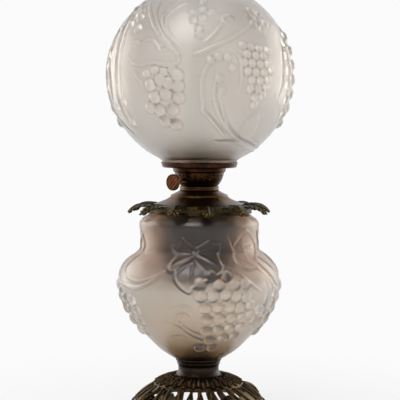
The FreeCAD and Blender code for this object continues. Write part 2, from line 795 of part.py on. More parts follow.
def spreader_tube():
    """The perforated thimble that stands in the draught tube, with a shoulder on its top."""
    inside = draft_radius - draft_wall - seat_gap
    low = draft_top - spreader_depth
    shoulder = draft_top + seat_gap
    top = shoulder + spreader_height
    tube = turned([at(inside - spreader_wall, low), at(inside, low), at(inside, shoulder),
                   at(spreader_radius, shoulder), at(spreader_radius, top),
                   at(spreader_radius - spreader_wall, top),
                   at(spreader_radius - spreader_wall, shoulder + spreader_wall),
                   at(inside - spreader_wall, shoulder + spreader_wall)])
    holes = []
    for row in range(spreader_hole_rows):
        height = shoulder + spreader_height * (row + 1) / (spreader_hole_rows + 1)
        for i in range(spreader_holes):
            start = inside - spreader_wall * 2
            hole = front_pin(spreader_hole_radius, start, spreader_radius + overrun, height)
            holes.append(around(hole, full_turn * (i + row / 2) / spreader_holes))
    return tube.cut(Part.makeCompound(holes))


def spreader_cap():
    """The domed button on the thimble."""
    low = draft_top + seat_gap + spreader_height
    rim = low + spreader_wall
    rise = spreader_cap_height
    ball = (spreader_cap_radius ** 2 + rise ** 2) / (2 * rise)
    half = math.asin(spreader_cap_radius / ball) / 2
    middle = at(ball * math.sin(half), rim + rise - ball * (1 - math.cos(half)))
    edge = at(spreader_cap_radius, rim)
    peak = at(0, rim + rise)
    under = lines([peak, at(0, low), at(spreader_cap_radius, low), edge])
    return lathe([Part.Arc(edge, middle, peak).toShape()] + under)


def chimney():
    outer = [at(chimney_radius * r, chimney_bottom + chimney_height * h) for h, r in chimney_curve_shares]
    return spun(outer, chimney_wall)


def shade_ring():
    """The ring that carries the globe: a hub round the burner's rim, a web with windows and a cup."""
    hub_inside = bowl_rim_radius + seat_gap
    hub_outside = hub_inside + shade_hub_wall
    hub = ring(hub_inside, hub_outside, ring_bottom, web_top)
    inside = shade_ring_radius - shade_ring_wall
    web = ring(hub_inside, inside, bowl_top, web_top)
    low = shade_ring_radius - shade_ring_wall * 2
    cup = turned([at(low, bowl_top), at(shade_ring_radius - shade_ring_wall, bowl_top),
                  at(shade_ring_radius, bowl_top + shade_ring_wall), at(shade_ring_radius, ring_top),
                  at(inside, ring_top), at(inside, web_top), at(low, web_top)])
    from_radius = hub_outside + shade_window_margin
    to_radius = fitter_radius - globe_wall - shade_window_margin
    window = turned_part(from_radius, to_radius, bowl_top - overrun, web_top + overrun, shade_window_angle)
    windows = [around(window, full_turn * i / shade_window_count) for i in range(shade_window_count)]
    return hub.multiFuse([web.cut(Part.makeCompound(windows)), cup])


def turned_part(inside, outside, bottom, top, angle):
    """A part of a ring, through the given angle."""
    corners = [at(inside, bottom), at(outside, bottom), at(outside, top), at(inside, top)]
    face = Part.Face(Part.makePolygon(corners + corners[:1]))
    return face.revolve(origin, axis, angle)


def globe():
    """The ball globe: a sphere with a fitter below and an open top, with raised bunches and vines."""
    sphere = Part.makeSphere(globe_radius, at(0, globe_centre))
    below = globe_centre - math.sqrt(globe_radius ** 2 - fitter_flare_radius ** 2)
    start = at(fitter_radius, fitter_bottom + fitter_height * (1 - fitter_flare_share))
    end = at(fitter_flare_radius, below)
    bend = at(fitter_radius + (fitter_flare_radius - fitter_radius) * fitter_flare_share / 2,
              start.z + (below - start.z) * fitter_flare_share)
    neck = [curve([start, bend, end])] + lines([end, at(0, below), at(0, fitter_bottom),
                                                at(fitter_radius, fitter_bottom), start])
    whole = sphere.fuse(lathe(neck))
    raised = grapes(globe_cluster_rows, globe_cluster_top, lambda h: math.sqrt(globe_radius ** 2 - h ** 2),
                    lambda h: globe_centre + h, globe_cluster_azimuths)
    vine_middle = globe_radius + vine_proud - vine_radius
    vine = Part.makeTorus(vine_middle, vine_radius, origin, FreeCAD.Vector(1, 0, 0))
    reach = globe_radius + grape_proud
    vine = vine.common(front_box(reach, 0, reach, -vine_height, vine_height))
    vine.translate(at(0, globe_centre))
    raised += [around(vine, vine_azimuth + full_turn * i / vine_count) for i in range(vine_count)]
    whole = whole.multiFuse(raised)
    hollow = Part.makeSphere(globe_radius - globe_wall, at(0, globe_centre))
    throat = Part.makeCylinder(fitter_radius - globe_wall, globe_radius, at(0, fitter_bottom - overrun))
    cap = ring(0, globe_radius, globe_top, globe_centre + globe_radius + overrun)
    mouth = Part.makeCylinder(globe_top_radius - globe_wall, globe_radius, at(0, globe_centre))
    return whole.cut(hollow).cut(throat).cut(cap).cut(mouth)


pieces = [foot_casting, leaf_collar, stem_collar, glass_cup, seat_gasket, tie_tube, bottom_washer,
          bottom_nut, glass_body, top_gasket, top_washer, top_nut, crown_plaster, crown_ring, font_tank,
          font_dome, filler_neck, filler_cap, filler_gasket, draft_tube, wick_tube, wick, wick_carrier,
          wick_pinion, wick_shaft, shaft_bushing, wick_wheel, burner_collar, burner_bowl, chimney_gallery,
          spreader_tube, spreader_cap, chimney, shade_ring, globe]

os.makedirs("parts", exist_ok=True)
for piece in pieces:
    shape = piece().removeSplitter()
    solids = shape.Solids
    kept = solids[0] if len(solids) == 1 else shape
    kept.exportStep("parts/" + piece.__name__ + ".step")
    box = kept.BoundBox
    print(f"{piece.__name__}: {len(solids)} solid, valid {kept.isValid()}, volume {kept.Volume:.0f}, "
          f"height {box.ZMin:.1f} to {box.ZMax:.1f}")
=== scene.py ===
# %% [markdown]
# # An oil parlor lamp
#
# The lamp stands 612 mm tall. A moulded satin glass vase on a pierced cast foot holds a lift-out oil font. On
# the font stands a centre-draught burner, with a clear chimney and a ring that carries a satin glass ball
# globe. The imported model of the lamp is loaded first, and every new piece is made in its place and its
# measures.

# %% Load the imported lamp
import json
import math

import bpy
from mathutils import Matrix, Vector
from mathutils.bvhtree import BVHTree


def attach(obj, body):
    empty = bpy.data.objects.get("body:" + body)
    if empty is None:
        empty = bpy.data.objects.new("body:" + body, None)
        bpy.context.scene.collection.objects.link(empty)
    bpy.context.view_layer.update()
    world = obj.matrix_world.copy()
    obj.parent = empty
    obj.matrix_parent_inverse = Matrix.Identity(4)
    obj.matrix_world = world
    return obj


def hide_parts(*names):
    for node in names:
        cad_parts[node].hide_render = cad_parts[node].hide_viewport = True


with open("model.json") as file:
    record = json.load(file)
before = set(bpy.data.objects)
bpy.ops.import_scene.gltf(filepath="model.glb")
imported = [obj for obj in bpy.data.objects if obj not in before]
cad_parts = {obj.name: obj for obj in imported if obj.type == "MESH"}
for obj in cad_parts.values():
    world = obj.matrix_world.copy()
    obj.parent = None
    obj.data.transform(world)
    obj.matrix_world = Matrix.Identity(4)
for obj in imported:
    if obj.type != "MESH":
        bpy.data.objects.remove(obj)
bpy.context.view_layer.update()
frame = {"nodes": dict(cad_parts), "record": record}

# %% [markdown]
# ## Camera
#
# The photograph looks at the lamp nearly level, from about two metres, with a long lens. A camera is aimed at
# a point on the lamp's axis. Aiming it a little downwards does what a shifted lens would do, and the other
# views stay free of that shift. A roll of a quarter of a degree gives the slight lean that the picture has.

# %% Camera
MM = 0.001
CAMERA_PLACE = Vector((0.001, -1.95, 0.4265))
CAMERA_AIM = Vector((0.001, 0.0, 0.317))
CAMERA_LENS = 127.0
CAMERA_LEAN = math.radians(0.26)

bpy.ops.object.select_all(action="DESELECT")
bpy.ops.object.camera_add(location=CAMERA_PLACE)
camera = bpy.context.active_object
camera.data.lens = CAMERA_LENS
camera.data.sensor_width = 36.0
aimed = (CAMERA_AIM - CAMERA_PLACE).to_track_quat("-Z", "Y").to_matrix()
camera.rotation_euler = aimed.to_euler()
camera.rotation_euler.rotate_axis("Z", CAMERA_LEAN)
bpy.context.scene.camera = camera
bpy.context.scene.view_settings.view_transform = "Standard"
print("camera at", [round(c, 3) for c in CAMERA_PLACE], "with a", CAMERA_LENS, "mm lens")

# %% [markdown]
# ## How a material is written
#
# Every finish is a small net of nodes round one Principled shader. One helper adds a node, sets its options
# and joins its inputs. Colours are written as sRGB hex values, as a paint card gives them, and turned to the
# linear values that the shader works with.

# %% Helpers for materials
def paint(code):
    """An sRGB hex colour as linear red, green, blue and 1."""
    parts = [int(code[i:i + 2], 16) / 255 for i in (0, 2, 4)]
    linear = [c / 12.92 if c <= 0.04045 else ((c + 0.055) / 1.055) ** 2.4 for c in parts]
    return (*linear, 1.0)


def add(tree, kind, inputs=None, **settings):
    """Adds one shader node, with its settings, and sets or joins its inputs."""
    made = tree.nodes.new("ShaderNode" + kind)
    for name, value in settings.items():
        setattr(made, name, value)
    for socket, value in (inputs or {}).items():
        if isinstance(value, bpy.types.NodeSocket):
            tree.links.new(value, made.inputs[socket])
        else:
            made.inputs[socket].default_value = value
    return made


def stops(ramp, *places):
    """Sets a colour ramp's stops from (place, hex colour) pairs."""
    band = ramp.color_ramp
    while len(band.elements) < len(places):
        band.elements.new(0.5)
    for element, (place, code) in zip(band.elements, places):
        element.position = place
        element.color = paint(code)
    return ramp.outputs["Color"]


def new_finish(name):
    """A new material with an empty net, its output node and the object's own coordinates."""
    material = bpy.data.materials.new(name)
    material.use_nodes = True
    tree = material.node_tree
    tree.nodes.clear()
    output = add(tree, "OutputMaterial")
    here = add(tree, "TexCoord").outputs["Object"]
    return material, tree, output, here


COLOR_A, COLOR_B, COLOR_OUT = 6, 7, 2      # the colour sockets of a Mix node


# %% [markdown]
# ## Patinated brass
#
# All the metal is brass, in nine finishes. The cast foot, collar and crown are antiqued: darkened in acid and
# rubbed back, so brass shows on what stands up and brown-black stays in the recesses. The crown's brass is
# darker still, partly in its olive tone and partly as painted shade under its leaves. The spun pieces are
# bronzed: the shade ring dark, the stem and cup smoky, the burner mottled, the font's dome and the collar
# olive. The wick wheel is coppery from the fingers that turn it, the tank is tarnished and the inner metal
# plain brass gone dull. A noise of some 20 mm varies the tone, and a fine one gives the grain of the surface.
# The nearness of walls round a point, those of other parts included, darkens the recesses: partly the patina
# in the hollows and partly painted shade, which is strongest in the grooves of the wick wheel.

# %% Metal finishes
def patinated_brass(name, recess, middle, raised, rough, grain, reach=6.0, grit=1.5, bump=0.25, shut=0.25):
    """Brass coloured from its recesses (dark: patina and painted shade) to its raised places (rubbed), with
    the grain of its making.
    """
    material, tree, output, here = new_finish(name)
    cloud = add(tree, "TexNoise", {"Vector": here, "Scale": 1 / (20 * MM), "Detail": 6.0, "Roughness": 0.62})
    fine = add(tree, "TexNoise", {"Vector": here, "Scale": 1 / (grit * MM), "Detail": 3.0, "Roughness": 0.6})
    # nearness of walls, other parts' walls included: patina in the hollows, and painted shade where parts
    # crowd the metal
    patina_and_shade = add(tree, "AmbientOcclusion", {"Distance": reach * MM}, samples=8, only_local=False)
    lit = add(tree, "MapRange", {"Value": patina_and_shade.outputs["AO"], "From Min": shut, "From Max": 0.95})
    uneven = add(tree, "MapRange", {"Value": cloud.outputs[0], "From Min": 0.3, "From Max": 0.7,
                                    "To Min": 0.55, "To Max": 1.1})
    tone = add(tree, "Math", {0: lit.outputs[0], 1: uneven.outputs[0]}, operation="MULTIPLY", use_clamp=True)
    speckle = add(tree, "Math", {0: fine.outputs[0], 1: -0.5}, operation="ADD")
    toned = add(tree, "Math", {0: speckle.outputs[0], 1: 0.5, 2: tone.outputs[0]},
                operation="MULTIPLY_ADD", use_clamp=True)
    ramp = add(tree, "ValToRGB", {"Fac": toned.outputs[0]})
    color = stops(ramp, (0.0, recess), (0.5, middle), (1.0, raised))
    roughness = add(tree, "MapRange", {"Value": toned.outputs[0], "To Min": rough + grain, "To Max": rough})
    bumped = add(tree, "Bump", {"Height": fine.outputs[0], "Strength": bump, "Distance": 0.25 * MM})
    shader = add(tree, "BsdfPrincipled", {
        "Base Color": color, "Metallic": 1.0, "Roughness": roughness.outputs[0], "Normal": bumped.outputs[0]})
    tree.links.new(shader.outputs[0], output.inputs["Surface"])
    return material


antique_brass = patinated_brass("antiqued_cast_brass", "0a0806", "251c12", "5e4c31", 0.34, 0.2,
                                reach=4.0, bump=0.6)
# the crown's cast brass, darker than the foot's: partly an olive tone, partly painted shade under its leaves
# and fringe
shade_darkened_brass = patinated_brass("olive_cast_brass_with_painted_shade", "090a07", "1b1810", "544529", 0.34, 0.2,
                               reach=5.0, bump=0.6)
dark_bronze = patinated_brass("bronzed_spun_brass", "0e0a08", "22160e", "44291b", 0.26, 0.16)
smoked_bronze = patinated_brass("smoke_bronzed_spun_brass", "0d0a08", "1f1914", "3a3028", 0.28, 0.16)
olive_bronze = patinated_brass("olive_bronzed_sheet_brass", "160f08", "443018", "624a2c", 0.3, 0.16)
plain_brass = patinated_brass("dulled_machined_brass", "2c2113", "7c6438", "b39a5e", 0.36, 0.2)
tarnished_brass = patinated_brass("tarnished_tank_brass", "0e0908", "201614", "33251f", 0.45, 0.2)
etched_bronze = patinated_brass("mottled_burner_brass", "0a0705", "150d08", "432a15", 0.28, 0.2,
                                grit=3.2, bump=0.5)
# its grooves reach the recess colour early: painted shade between the ridges of the wheel
copper_brass = patinated_brass("coppery_knurled_brass", "0e0704", "3c2012", "7d4c2e", 0.3, 0.2,
                               reach=3.0, shut=0.7)
print("nine metal finishes")

# %% [markdown]
# ## Satin glass and clear glass
#
# The vase and the globe are pressed-blown soda glass, dipped in acid after moulding. The acid leaves a fine
# satin skin that spreads light, so shapes behind it blur and its edges glow. Years of handling have polished
# the raised fruit, which shines more than the ground. It is one glass shader with full transmission, and its
# roughness comes from the nodes: satin on the ground and smoother in worn patches. The chimney is clear blown
# glass.

# %% Glass finishes
GLASS_IOR = 1.5
GLASS_TOP = 603.0
# painted shade and reflection of the brass beside the glass, by share of that height: brown at the vase's
# foot and from its neck up to the globe's fitter
BRASS_SHADE_BANDS = [(0.16, "cfb088"), (0.23, "f8f0e4"), (0.33, "ffffff"), (0.40, "d2b8a6"), (0.51, "e2cebe"),
        (0.61, "c2ae9c"), (0.645, "ffffff")]


def glass_finish(name, recess, tint_low, tint_high, rough_low, rough_high, polish):
    """Glass with a rough or clear skin, browned by painted shade in the recesses of its relief and in bands
    by height, with a faint polish over it.
    """
    material, tree, output, here = new_finish(name)
    cloud = add(tree, "TexNoise", {"Vector": here, "Scale": 1 / (45 * MM), "Detail": 3.0})
    frost = add(tree, "TexNoise", {"Vector": here, "Scale": 1 / (2.2 * MM), "Detail": 2.0})
    tint = stops(add(tree, "ValToRGB", {"Fac": cloud.outputs[0]}), (0.35, tint_low), (0.65, tint_high))
    # pointiness finds the hollows round the relief, which take the recess colour as painted shade
    edge = add(tree, "NewGeometry").outputs["Pointiness"]
    hollow = add(tree, "MapRange", {"Value": edge, "From Min": 0.44, "From Max": 0.497})
    height = add(tree, "SeparateXYZ", {"Vector": here}).outputs["Z"]
    level = add(tree, "MapRange", {"Value": height, "From Max": GLASS_TOP * MM})
    # the glass browns by height where brass lies near it: painted shade and reflection
    shade_band = stops(add(tree, "ValToRGB", {"Fac": level.outputs[0]}), *BRASS_SHADE_BANDS)
    shade_banded = add(tree, "Mix", {0: 1.0, COLOR_A: tint, COLOR_B: shade_band}, data_type="RGBA", blend_type="MULTIPLY")
    color = add(tree, "Mix", {0: hollow.outputs[0], COLOR_A: paint(recess),
                              COLOR_B: shade_banded.outputs[COLOR_OUT]}, data_type="RGBA")
    worn = add(tree, "MapRange", {"Value": cloud.outputs[0], "From Min": 0.35, "From Max": 0.65,
                                  "To Min": rough_low, "To Max": rough_high})
    bumped = add(tree, "Bump", {"Height": frost.outputs[0], "Strength": 0.08, "Distance": 0.3 * MM})
    shader = add(tree, "BsdfPrincipled", {
        "Base Color": color.outputs[COLOR_OUT], "Roughness": worn.outputs[0], "IOR": GLASS_IOR,
        "Transmission Weight": 1.0, "Coat Weight": polish, "Coat Roughness": 0.24,
        "Normal": bumped.outputs[0]})
    tree.links.new(shader.outputs[0], output.inputs["Surface"])
    return material


# the satin glass's recess colour is painted shade round its fruit
satin_glass = glass_finish("acid_satin_soda_glass", "8a7452", "f0eae4", "f9f5f0",
                           rough_low=0.32, rough_high=0.42, polish=0.45)
clear_glass = glass_finish("clear_blown_soda_glass", "f4f7f6", "f4f7f6", "fafcfb",
                           rough_low=0.02, rough_high=0.03, polish=0.0)
print("two glass finishes")


# %% [markdown]
# ## Plaster, leather and cotton
#
# Small inner pieces: the plaster that beds the crown on the glass, the oiled leather of the washers, and the
# knitted cotton of the wick, whose char at the lip is left out.

# %% Inner finishes
def plain_finish(name, low, high, grain, rough, bump):
    """A matt finish between two colours, with a grain of so many millimetres."""
    material, tree, output, here = new_finish(name)
    noise = add(tree, "TexNoise", {"Vector": here, "Scale": 1 / (grain * MM), "Detail": 5.0})
    color = stops(add(tree, "ValToRGB", {"Fac": noise.outputs[0]}), (0.3, low), (0.7, high))
    bumped = add(tree, "Bump", {"Height": noise.outputs[0], "Strength": bump, "Distance": 0.3 * MM})
    level = add(tree, "MapRange", {"Value": noise.outputs[0], "To Min": rough, "To Max": rough + 0.12})
    shader = add(tree, "BsdfPrincipled", {
        "Base Color": color, "Roughness": level.outputs[0], "Normal": bumped.outputs[0]})
    tree.links.new(shader.outputs[0], output.inputs["Surface"])
    return material


plaster = plain_finish("cast_plaster", "cfc6b4", "e2dac9", grain=4.0, rough=0.8, bump=0.5)
leather = plain_finish("oiled_washer_leather", "3a2414", "5c3a20", grain=2.0, rough=0.55, bump=0.6)
cotton = plain_finish("knitted_lamp_cotton", "c9bda4", "e0d6c0", grain=1.2, rough=0.85, bump=0.8)
print("three inner finishes")

# %% [markdown]
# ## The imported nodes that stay
#
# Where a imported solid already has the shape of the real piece, it stays and gets its finish.

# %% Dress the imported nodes
FINISH_OF_SLOT = {
    "dark_bronze": dark_bronze, "antique_brass": antique_brass, "olive_bronze": olive_bronze,
    "plain_brass": plain_brass, "tarnished_brass": tarnished_brass, "copper_brass": copper_brass,
    "satin_glass": satin_glass, "clear_glass": clear_glass, "plaster": plaster, "gasket_leather": leather,
    "cotton": cotton,
}
for subpart in frame["record"]["subparts"]:
    for holder in frame["nodes"][subpart["node"]].material_slots:
        holder.material = FINISH_OF_SLOT[subpart["material_slot"]]
print(len(frame["nodes"]), "packed nodes have their finish")

# %% [markdown]
# ## How a spun or moulded shape is made
#
# Most pieces of the lamp are round. Such a piece starts as a circle of as many corners as its half section
# has. The corners are set on the section, and a Screw modifier turns them once round the lamp's axis. Doubled
# corners are merged and the faces turned outwards. A section is written in millimetres as (radius, height),
# and a curved run of it is drawn through a few chosen points.

# %% Helpers for spun shapes
WELD = 0.01 * MM        # corners nearer than this are one corner
RUN_STEPS = 40          # steps between two chosen points of a smooth run


def smooth_run(points, count):
    """A smooth line through the points, as count points that are evenly spaced along it."""
    line = [Vector(p) for p in points]
    line = [2 * line[0] - line[1]] + line + [2 * line[-1] - line[-2]]
    fine = []
    for a, b, c, d in zip(line, line[1:], line[2:], line[3:]):
        for i in range(RUN_STEPS):
            t = i / RUN_STEPS
            fine.append(0.5 * (2 * b + (c - a) * t + (2 * a - 5 * b + 4 * c - d) * t * t
                               + (3 * b - a - 3 * c + d) * t ** 3))
    fine.append(line[-2])
    walked = [0.0]
    for a, b in zip(fine, fine[1:]):
        walked.append(walked[-1] + (b - a).length)
    even, i = [], 0
    for n in range(count):
        goal = walked[-1] * n / (count - 1)
        while i < len(walked) - 2 and walked[i + 1] < goal:
            i += 1
        step = walked[i + 1] - walked[i]
        even.append(fine[i].lerp(fine[i + 1], (goal - walked[i]) / step if step else 0.0))
    return even


def inner_side(run, wall):
    """The line that runs at a wall's thickness to the left of a rising run, towards the axis."""
    moved = []
    for i, point in enumerate(run):
        along = run[min(i + 1, len(run) - 1)] - run[max(i - 1, 0)]
        moved.append(point + Vector((-along.y, along.x)).normalized() * wall)
    return moved


def section(*points):
    """The points of a section in (radius, height), as vectors."""
    return [Vector(point) for point in points]


def select_only(*pieces):
    """Selects these pieces and nothing else, and makes the first of them active."""
    bpy.ops.object.select_all(action="DESELECT")
    for piece in pieces:
        piece.select_set(True)
    if pieces:
        bpy.context.view_layer.objects.active = pieces[0]


def modified(piece, kind, **settings):
    """A piece with a modifier added, set and applied."""
    select_only(piece)
    bpy.ops.object.modifier_add(type=kind)
    modifier = piece.modifiers[-1]
    for name, value in settings.items():
        setattr(modifier, name, value)
    bpy.ops.object.modifier_apply(modifier=modifier.name)
    return piece


def cleaned(piece, sharp):
    """Merges doubled corners, turns the faces outwards and shades smooth up to an angle in degrees."""
    select_only(piece)
    bpy.ops.object.mode_set(mode="EDIT")
    bpy.ops.mesh.select_all(action="SELECT")
    bpy.ops.mesh.remove_doubles(threshold=WELD)
    bpy.ops.mesh.normals_make_consistent(inside=False)
    bpy.ops.object.mode_set(mode="OBJECT")
    bpy.ops.object.shade_smooth_by_angle(angle=math.radians(sharp))
    return piece


def turned(name, outline, steps, sharp=40, outside=0):
    """A closed section, spun round the axis. As many of its first points as outside says are marked so."""
    select_only()
    bpy.ops.mesh.primitive_circle_add(vertices=len(outline), radius=100 * MM)
    piece = bpy.context.active_object
    piece.name = piece.data.name = name
    for corner, (radius, height) in zip(piece.data.vertices, outline):
        corner.co = (radius * MM, 0, height * MM)
    piece.vertex_groups.new(name="outside").add(list(range(outside)), 1.0, "REPLACE")
    modified(piece, "SCREW", axis="Z", steps=steps, render_steps=steps, use_merge_vertices=True,
             merge_threshold=WELD)
    return cleaned(piece, sharp)


def settle(piece, finish, slot, body, *nodes):
    """Gives a finished piece its finish and its body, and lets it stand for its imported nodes."""
    piece.data.materials.clear()
    piece.data.materials.append(finish)
    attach(piece, body)
    if nodes:
        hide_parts(*nodes)
    print(piece.name, "has", len(piece.data.polygons), "faces")
    return piece


# %% [markdown]
# ## The mould board
#
# Both glasses were blown into iron moulds whose walls had the fruit cut into them. The fruit is modelled here
# as the mould maker drew it: flat, on a board. Across the board runs the azimuth round the glass and up it
# the height. Grapes are spheres sunk in the board, vines are round bars that taper, and leaves are thin
# plates with a raised rim and raised veins. The glass is then pressed against the board: each point of its
# skin moves out by as much as the board stands up at its own azimuth and height. The mould has two halves
# that are alike, so the board covers the front half, and the back shows the same fruit turned half round.

# %% Helpers for the mould board
BOARD_CLEAR = 50        # mm above the board, from where its height is felt
FLATTEN = 0.08          # how much less the glass follows each mm of height, because it doesn't fill deep cuts
TAPER = 3               # a vine has its full width within a third of its length from its ends
LEAF_BLADE = 1.2        # how high the blade of a leaf stands


def glass_place(glass, azimuth, height, above=0.0):
    """The place on a glass's board of an azimuth in degrees and a height in millimetres."""
    return Vector((azimuth * glass["degree"] * MM, height * MM, above * MM))


def moved_copies(piece, moves):
    """Copies of a piece, each with its own mesh and moved by its own matrix. The model itself goes."""
    copies = []
    for move in moves:
        copy = bpy.data.objects.new(piece.name, piece.data.copy())
        bpy.context.scene.collection.objects.link(copy)
        copy.data.transform(move)
        copies.append(copy)
    select_only(piece)
    bpy.ops.object.delete()
    return copies


def joined(first, others):
    """Joins the others to the first piece, which keeps its name."""
    select_only(first, *others)
    bpy.ops.object.join()
    return first


def board_grapes(parts, glass, places, half_width, proud):
    """Round grapes at (azimuth, height), drawn wider and lower where the glass is narrower or leans."""
    radius = (half_width ** 2 + proud ** 2) / (2 * proud)
    select_only()
    bpy.ops.mesh.primitive_uv_sphere_add(segments=20, ring_count=12, radius=radius * MM)
    moves = []
    for azimuth, height in places:
        local, lean = glass["shape"](height)
        moves.append(Matrix.Translation(glass_place(glass, azimuth, height, proud - radius))
                     @ Matrix.Diagonal((glass["widest"] / local, lean, 1, 1)))
    parts += moved_copies(bpy.context.active_object, moves)


def drawn_curve(lines, resolution, closed=False):
    """A curve object with one smooth NURBS line for each (places, half widths) pair."""
    select_only()
    bpy.ops.curve.primitive_nurbs_path_add()
    drawn = bpy.context.active_object
    drawn.data.splines.clear()
    for places, widths in lines:
        line = drawn.data.splines.new("NURBS")
        line.points.add(len(places) - 1)
        for point, place, width in zip(line.points, places, widths):
            point.co = (*place, 1.0)
            point.radius = width
        line.order_u = 3
        line.use_cyclic_u = closed
        line.use_endpoint_u = not closed
        line.resolution_u = resolution
    return drawn


def board_curve(glass, lines, closed=False, above=0.0):
    """Lines on the board, from pairs of (azimuth, height) places and half widths."""
    return drawn_curve([([glass_place(glass, *place, above) for place in places], widths)
                        for places, widths in lines], resolution=8, closed=closed)


def board_vines(parts, glass, vines, ends=(0.5, 0.5), closed=False, above=0.0):
    """Round vines through (azimuth, height) places, each with its half width, tapering to their ends."""
    lines = []
    for places, half_width in vines:
        last = len(places) - 1
        widths = [half_width * min(1.0, ends[0] + TAPER * i / last, ends[1] + TAPER * (last - i) / last)
                  for i in range(last + 1)]
        lines.append((places, [half_width] * (last + 1) if closed else widths))
    drawn = board_curve(glass, lines, closed, above)
    drawn.data.bevel_depth = MM
    drawn.data.bevel_resolution = 3
    bpy.ops.object.convert(target="MESH")
    parts.append(bpy.context.active_object)


def board_plates(parts, glass, outlines, thickness, rim=0.6):
    """Thin plates, such as leaf blades, inside closed outlines of (azimuth, height) places."""
    drawn = board_curve(glass, [(places, [1.0] * len(places)) for places in outlines], closed=True)
    drawn.data.dimensions = "2D"
    drawn.data.fill_mode = "BOTH"
    drawn.data.extrude = (thickness - rim) * MM
    drawn.data.bevel_depth = rim * MM
    drawn.data.bevel_resolution = 2
    bpy.ops.object.convert(target="MESH")
    parts.append(bpy.context.active_object)


def board_leaf(parts, glass, edge, veins, half_width, vein_width, above, ends=(0.5, 0.5)):
    """A leaf: a blade inside its edge, with a round bar along the edge and one along each vein."""
    board_plates(parts, glass, [edge], LEAF_BLADE)
    board_vines(parts, glass, [(edge, half_width)], closed=True, above=above)
    board_vines(parts, glass, [(vein, vein_width) for vein in veins], ends, above=above)


def press(piece, parts, glass):
    """Presses the outside of a glass against the board, and softens what stands up, as the acid did."""
    board = joined(parts[0], parts[1:])
    tree = BVHTree.FromObject(board, bpy.context.evaluated_depsgraph_get())
    down = Vector((0, 0, -1))
    skin = piece.vertex_groups["outside"].index
    normals = [vertex.normal.copy() for vertex in piece.data.vertices]
    raised = []
    half_turn = 180 * glass["degree"] * MM
    for vertex, normal in zip(piece.data.vertices, normals):
        if not any(mark.group == skin for mark in vertex.groups):
            continue
        azimuth = math.degrees(math.atan2(vertex.co.x, -vertex.co.y))
        place = glass_place(glass, azimuth, vertex.co.z / MM, BOARD_CLEAR)
        turned_place = place + Vector((half_turn if azimuth < 0 else -half_turn, 0, 0))
        hits = [tree.ray_cast(start, down)[0] for start in (place, turned_place)]
        lift = max([hit.z for hit in hits if hit] + [0.0])
        lift *= glass["swell"] - FLATTEN * lift / MM
        if lift:
            vertex.co += normal * lift
            raised.append(vertex.index)
    select_only(board)
    bpy.ops.object.delete()
    select_only(piece)
    bpy.ops.object.mode_set(mode="EDIT")
    bpy.ops.mesh.select_all(action="DESELECT")
    bpy.ops.mesh.select_mode(type="VERT")
    bpy.ops.object.mode_set(mode="OBJECT")
    for index in raised:
        piece.data.vertices[index].select = True
    bpy.ops.object.mode_set(mode="EDIT")
    bpy.ops.mesh.vertices_smooth(factor=0.5, repeat=1)
    bpy.ops.object.mode_set(mode="OBJECT")
    print(piece.name, "has", len(raised), "raised points")


# %% [markdown]
# ## The globe
#
# A ball globe, 254 mm across, with a plain fitter below that sits in the ring and an open top. Its outer skin
# is a fine grid of some 1.7 mm, close enough for the fruit, and its inner wall is coarser. On the front hang
# a large bunch of grapes under a scalloped leaf, a bunch of small grapes, and a row of large ones at the
# side. Between them run stems, tendrils and a sheaf of thin vines.

# %% The globe's section
GLOBE_RADIUS, GLOBE_CENTRE, GLOBE_WALL = 127.0, 488.8, 3.2
FITTER_RADIUS, FITTER_LOW, MOUTH_RADIUS = 51.0, 363.5, 57.0
GLOBE_ROWS, GLOBE_STEPS = 158, 476      # of the fine grid of its outer skin


def ball_points(radius, from_radius, to_radius, count):
    """Points up a ball's side, from one radius below its middle to another above it."""
    start = -math.acos(from_radius / radius)
    end = math.acos(to_radius / radius)
    angles = [start + (end - start) * i / (count - 1) for i in range(count)]
    return [Vector((radius * math.cos(angle), GLOBE_CENTRE + radius * math.sin(angle))) for angle in angles]


ball = ball_points(GLOBE_RADIUS, 67.0, MOUTH_RADIUS, GLOBE_ROWS)
flare = smooth_run([(FITTER_RADIUS, FITTER_LOW + 0.6), (FITTER_RADIUS, 368.5), (52.3, 372.0),
                    (57.0, 375.4), ball[0]], 12)[:-1]
hollow = ball_points(GLOBE_RADIUS - GLOBE_WALL, FITTER_RADIUS - GLOBE_WALL, MOUTH_RADIUS - GLOBE_WALL, 26)
globe_section = flare + ball + section((MOUTH_RADIUS - 1.2, GLASS_TOP - 0.9), (55.0, 602.1)) + hollow[::-1]
globe_section += section((FITTER_RADIUS - GLOBE_WALL, 369.0), (FITTER_RADIUS - GLOBE_WALL, FITTER_LOW + 0.5),
                         (FITTER_RADIUS - 1.0, FITTER_LOW))
globe = turned("satin_glass_globe", globe_section, GLOBE_STEPS, sharp=60, outside=len(flare) + len(ball))


def globe_shape(height):
    """The globe's radius at a height, and how upright its wall is there."""
    local = math.sqrt(GLOBE_RADIUS ** 2 - (height - GLOBE_CENTRE) ** 2)
    return local, local / GLOBE_RADIUS


ON_GLOBE = {"degree": math.radians(1) * GLOBE_RADIUS, "widest": GLOBE_RADIUS, "shape": globe_shape,
            "swell": 1.4}

